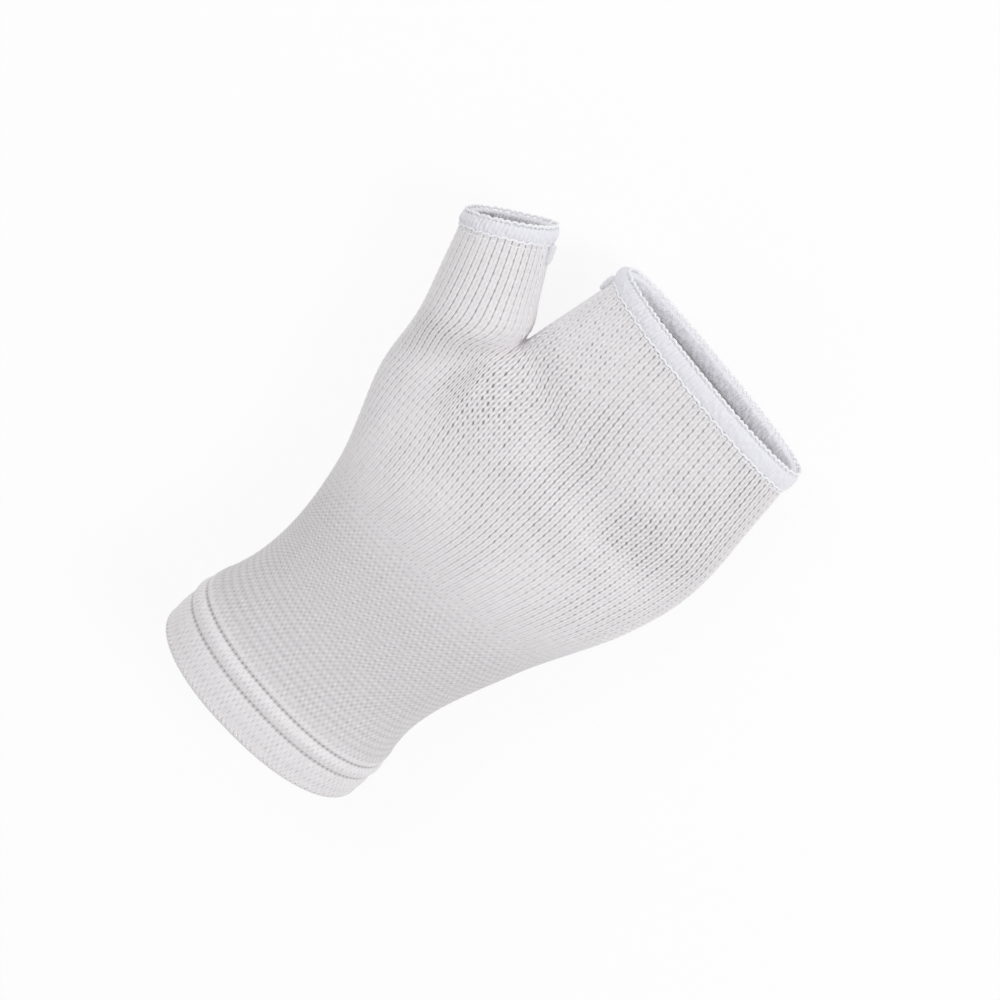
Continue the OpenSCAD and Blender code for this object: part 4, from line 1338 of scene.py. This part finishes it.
class SLEEVE_OT_fork(bpy.types.Operator):
    """Sews the fork: the seam inside, its stitches outside and its two tacked ends"""

    bl_idname = "sleeve.fork"
    bl_label = "Fork seam"

    HEIGHT, THICKNESS, TACK, TACK_LENGTH = 3.5 * MM, 2 * MM, 2 * MM, 5 * MM
    LADDER_ANGLE, LADDER_PITCH, LADDER_THREAD = math.radians(166), 2 * MM, 0.22 * MM
    ROUND = np.linspace(0, 2 * math.pi, 18, endpoint=False)

    def execute(self, context):
        for piece in (self.allowance(), self.ladder()):
            finish_piece(piece, "fork_seam")
        for limb in workshop().sleeve.run:
            finish_piece(self.tack(limb), f"{limb}_seam_tack")
        return {"FINISHED"}

    def root(self):
        """The line that the seam follows, from opening to opening, and the way in from it."""
        z, sleeve = workshop().sizes, workshop().sleeve
        steps, turns, end = 40, 24, z.edging_width + 1 * MM
        share = np.linspace(0, 1, steps)
        fork = np.array([*sleeve.fork, sleeve.web_level]) - sleeve.origin
        spots = np.concatenate([
            sleeve.limb("finger", mix(z.finger_run - end, 1 * MM, share), math.pi, 1),
            np.tile(fork, (turns, 1)),
            sleeve.limb("thumb", mix(1 * MM, z.thumb_run - end, share), math.pi, 1)])
        start, stop = math.radians(-90), z.thumb_angle + math.radians(91 - 360)
        heading = np.concatenate([
            np.full(steps, start), mix(start, stop, (np.arange(turns) + 1) / (turns + 1)),
            np.full(steps, stop)])
        return spots, np.column_stack([np.cos(heading), np.sin(heading), 0 * heading])

    def allowance(self):
        """The seam allowance that stands inward along both limbs and round the fork."""
        z, setback, count = workshop().sizes, workshop().sleeve.FORK_SETBACK, 241
        spots, out = self.root()
        middle = spots + (setback * z.wall + 2 * z.gap + self.HEIGHT / 2) * out
        gone = walked(middle)
        even = np.linspace(0, gone[-1], count)
        out = unit(np.column_stack([np.interp(even, gone, axis) for axis in out.T]))
        to_end = np.minimum(np.arange(count), np.arange(count)[::-1])
        size = 0.15 + 0.85 * np.minimum(1, to_end / 5) ** 0.5
        flat = np.sign(np.cos(self.ROUND)) * np.abs(np.cos(self.ROUND)) ** 0.7
        rows = bar_rows(at_distance(middle, even), out, size, flat * self.HEIGHT / 2,
                        np.sin(self.ROUND) * self.THICKNESS * 0.45)
        piece = solid_rows("fork_seam_allowance", rows, {
            "stitch": np.arange(count)[:, None] / 8, "across": 0.5}, False)
        return bake(piece, wrap_tree(), Ridge=0.35 * MM, Slant=0.3, Strands=3.0,
                    Strand_depth=0.06 * MM, Material=plain_finish("seam_thread"))

    def ladder(self):
        """Stitches of the seam that show outside, a little to the palm side of both limbs."""
        sleeve, band = workshop().sleeve, workshop().sizes.edging_width
        share = np.array([-0.42, -0.3, 0, 0.3, 0.42])
        sink = np.array([0.5, 0.0, -0.12, 0.0, 0.5]) * MM
        lines = []
        for limb, run in sleeve.run.items():
            for at in np.arange(1.5 * MM, run - band - 2 * MM, self.LADDER_PITCH):
                lines.append((sleeve.limb(limb, at + share * self.LADDER_PITCH,
                                          self.LADDER_ANGLE, 1, sink), False))
        return thread("fork_seam_stitches", lines, self.LADDER_THREAD, looper_thread())

    def tack(self, limb):
        """The end of the seam, folded back over the knit and sewn down."""
        sleeve, count, overlap = workshop().sleeve, 41, 0.9 * MM
        share = np.linspace(0, 1, count)
        at = (sleeve.run[limb] - workshop().sizes.edging_width + overlap
              - share * self.TACK_LENGTH)
        spots = sleeve.limb(limb, at, math.pi, 1, -0.32 * self.TACK * (1 - 0.5 * share))
        out = unit(spots - sleeve.limb(limb, at, math.pi, 1))
        taper = np.sqrt(np.clip(1 - (2 * share - 1) ** 4, 0.02, 1)) * (1.2 - 0.4 * share)
        rows = bar_rows(spots, out, taper, np.cos(self.ROUND) * self.TACK / 2,
                        np.sin(self.ROUND) * self.TACK * 0.62)
        piece = solid_rows(f"{limb}_tack", rows, {
            "stitch": np.arange(count)[:, None] / 10, "across": 0.5}, False)
        return bake(piece, wrap_tree(), Ridge=0.16 * MM, Slant=0.0, Strands=3.0,
                    Strand_depth=0.04 * MM, Fluff=0.5 * MM,
                    Material=plain_finish("seam_thread"))


class SLEEVE_OT_elastic(bpy.types.Operator):
    """Lays the elastic yarns inside the wrist"""

    bl_idname = "sleeve.elastic"
    bl_label = "Elastic yarns"

    COUNT, PITCH, FACETS = 8, 3.7 * MM, 240

    def execute(self, context):
        shop = workshop()
        z, radius, opening = shop.sizes, shop.thread.yarn, Opening("hem")
        first = z.hem_height + z.gap + 2 * radius
        turn = np.arange(self.FACETS) / self.FACETS
        lines = [(opening.points(first + n * self.PITCH, turn, z.wall + z.gap * 2 + radius), True)
                 for n in range(self.COUNT)]
        piece = thread("elastic_yarn_rings", lines, radius, plain_finish("elastic_yarn"),
                       sides=10)
        finish_piece(piece, "elastic_yarns")
        return {"FINISHED"}


# ---------------------------------------------------------------- stage

class StageSettings(bpy.types.PropertyGroup):
    """Camera, lamps and floor."""

    distance: length("Camera distance", "Camera to the middle of the sleeve", 600)
    tilt: degrees("Camera tilt", "Camera from upright, towards the fingers", 18)
    lean: degrees("Camera lean", "Camera from upright, towards the thumb", -1)
    roll: degrees("Camera roll", "Turn of the sleeve in the frame", 38)
    lens: factor("Lens", "Focal length in millimetres", 89.7)
    key_power: factor("Key power", "Power of the largest lamp in watts", 5.0)
    floor_colour: colour("Floor colour", "Colour of the floor", (0.97, 0.97, 0.97, 1))


def place_item(name, data, spot, back, up):
    """A camera or lamp at the spot.  Its -Z looks along -back, with up as near to Y as can be."""
    back, up = Vector(back).normalized(), Vector(up)
    side = up.cross(back).normalized()
    item = new_object(name, data)
    item.rotation_mode = "QUATERNION"
    item.rotation_quaternion = Matrix((side, back.cross(side), back)).transposed().to_quaternion()
    item.location = spot
    return item


def seen_ray(graph):
    """1 for rays from the camera, straight or by reflection or through glass, and 0 for light."""
    rays = graph.node("ShaderNodeLightPath").socket.node.outputs
    camera, glossy, through = (Wire(graph, rays[f"Is {key} Ray"])
                               for key in ("Camera", "Glossy", "Transmission"))
    return graph.math("MAXIMUM", graph.math("MAXIMUM", camera, glossy), through)


class SLEEVE_OT_stage(bpy.types.Operator):
    """Sets up the camera, the lamps, the sky and the floor"""

    bl_idname = "sleeve.stage"
    bl_label = "Stage"

    AIM_OFFSET = Vector((11.7, -6.3, -6.3)) * MM
    # Each lamp's place to the right, up and back of what the camera aims at, its size, and its
    # power as a share of the key power
    LAMPS = (("key", 0.66, -0.5, 0.92, 0.55, 1.05), ("fill", -0.6, 0.55, 0.95, 0.7, 0.5),
             ("top", 0.2, 0.9, 0.7, 0.5, 0.32))
    FLOOR_REACH = 4.0

    def execute(self, context):
        scene, stage = context.scene, context.scene.sleeve_stage
        low, high = (Vector(c) for c in CAD_BOX)
        aim = (low + high) / 2 + self.AIM_OFFSET
        back = Vector((math.sin(stage.tilt), math.tan(stage.lean), math.cos(stage.tilt)))
        back.normalize()
        along = Vector((math.cos(stage.tilt), 0, -math.sin(stage.tilt)))
        up = math.sin(stage.roll) * along + math.cos(stage.roll) * Vector((0, 1, 0))
        camera = place_item("camera", bpy.data.cameras.new("camera"),
                            aim + stage.distance * back, back, up)
        camera.data.lens = stage.lens
        camera.data.sensor_width = 36
        camera.data.clip_start = 0.01
        scene.camera = camera
        scene.view_settings.view_transform = "Standard"
        self.lamps(stage, camera.rotation_quaternion, aim)
        self.sky(scene)
        self.floor(stage, low.z)
        return {"FINISHED"}

    def lamps(self, stage, turn, aim):
        right, up, back = (turn @ Vector(axis) for axis in ((1, 0, 0), (0, 1, 0), (0, 0, 1)))
        for name, side, rise, depth, size, share in self.LAMPS:
            lamp = bpy.data.lights.new(name, "AREA")
            lamp.size = size
            lamp.energy = stage.key_power * share
            spot = side * right + rise * up + depth * back
            place_item(name, lamp, aim + spot, spot, up)

    def sky(self, scene):
        world = bpy.data.worlds.new("sky")
        world.use_nodes = True
        graph = Graph(world.node_tree)
        shade = world.node_tree.nodes["Background"]
        shade.inputs["Color"].default_value = (1, 1, 1, 1)
        graph.join(shade.inputs["Strength"], seen_ray(graph) * 0.45 + 0.55)
        scene.world = world

    def floor(self, stage, level):
        """A pale sheet that fades to plain white away from the sleeve."""
        corners = [(x * self.FLOOR_REACH, y * self.FLOOR_REACH, level)
                   for x, y in ((-1, -1), (1, -1), (1, 1), (-1, 1))]
        floor = make_mesh("floor", corners, [np.array([[0, 1, 2, 3]])])
        material, graph, shader = new_material("floor_paper")
        shader.inputs["Base Color"].default_value = stage.floor_colour
        shader.inputs["Roughness"].default_value = 0.9
        shader.inputs["Specular IOR Level"].default_value = 0.0
        glow = graph.node("ShaderNodeEmission", (1, 1, 1, 1), 1.0)
        place = graph.node("ShaderNodeTexCoord", out="Object")
        away = graph.node("ShaderNodeVectorMath", place, operation="LENGTH", out="Value")
        seen = seen_ray(graph) * graph.ramp(away, 0.12, 0.5, 0.88, 1.0)
        both = graph.node("ShaderNodeMixShader", seen, Wire(graph, shader.outputs[0]), glow)
        graph.join(graph.tree.nodes["Material Output"].inputs[0], both)
        floor.data.materials.append(material)


# ---------------------------------------------------------------- add-on

class SLEEVE_PT_panel(bpy.types.Panel):
    """Lists the sleeve's operators"""

    bl_idname = "SLEEVE_PT_panel"
    bl_label = "Knitted sleeve"
    bl_space_type = "VIEW_3D"
    bl_region_type = "UI"
    bl_category = "Sleeve"

    def draw(self, context):
        for operator in OPERATORS:
            self.layout.operator(operator.bl_idname)


OPERATORS = (SLEEVE_OT_stage, SLEEVE_OT_knit, SLEEVE_OT_hem, SLEEVE_OT_edges, SLEEVE_OT_fork,
             SLEEVE_OT_elastic)
SETTINGS = (("sleeve_sizes", SleeveSizes), ("sleeve_knit", KnitSettings),
            ("sleeve_thread", ThreadSettings), ("sleeve_finish", FinishSettings),
            ("sleeve_stage", StageSettings))


def register():
    for name, group in SETTINGS:
        bpy.utils.register_class(group)
        setattr(bpy.types.Scene, name, PointerProperty(type=group))
    for shown in (*OPERATORS, SLEEVE_PT_panel):
        bpy.utils.register_class(shown)


def unregister():
    for shown in (SLEEVE_PT_panel, *reversed(OPERATORS)):
        bpy.utils.unregister_class(shown)
    for name, group in reversed(SETTINGS):
        delattr(bpy.types.Scene, name)
        bpy.utils.unregister_class(group)


def main():
    register()
    for operator in OPERATORS:
        family, action = operator.bl_idname.split(".")
        getattr(getattr(bpy.ops, family), action)()


if __name__ == "__main__":
    main()
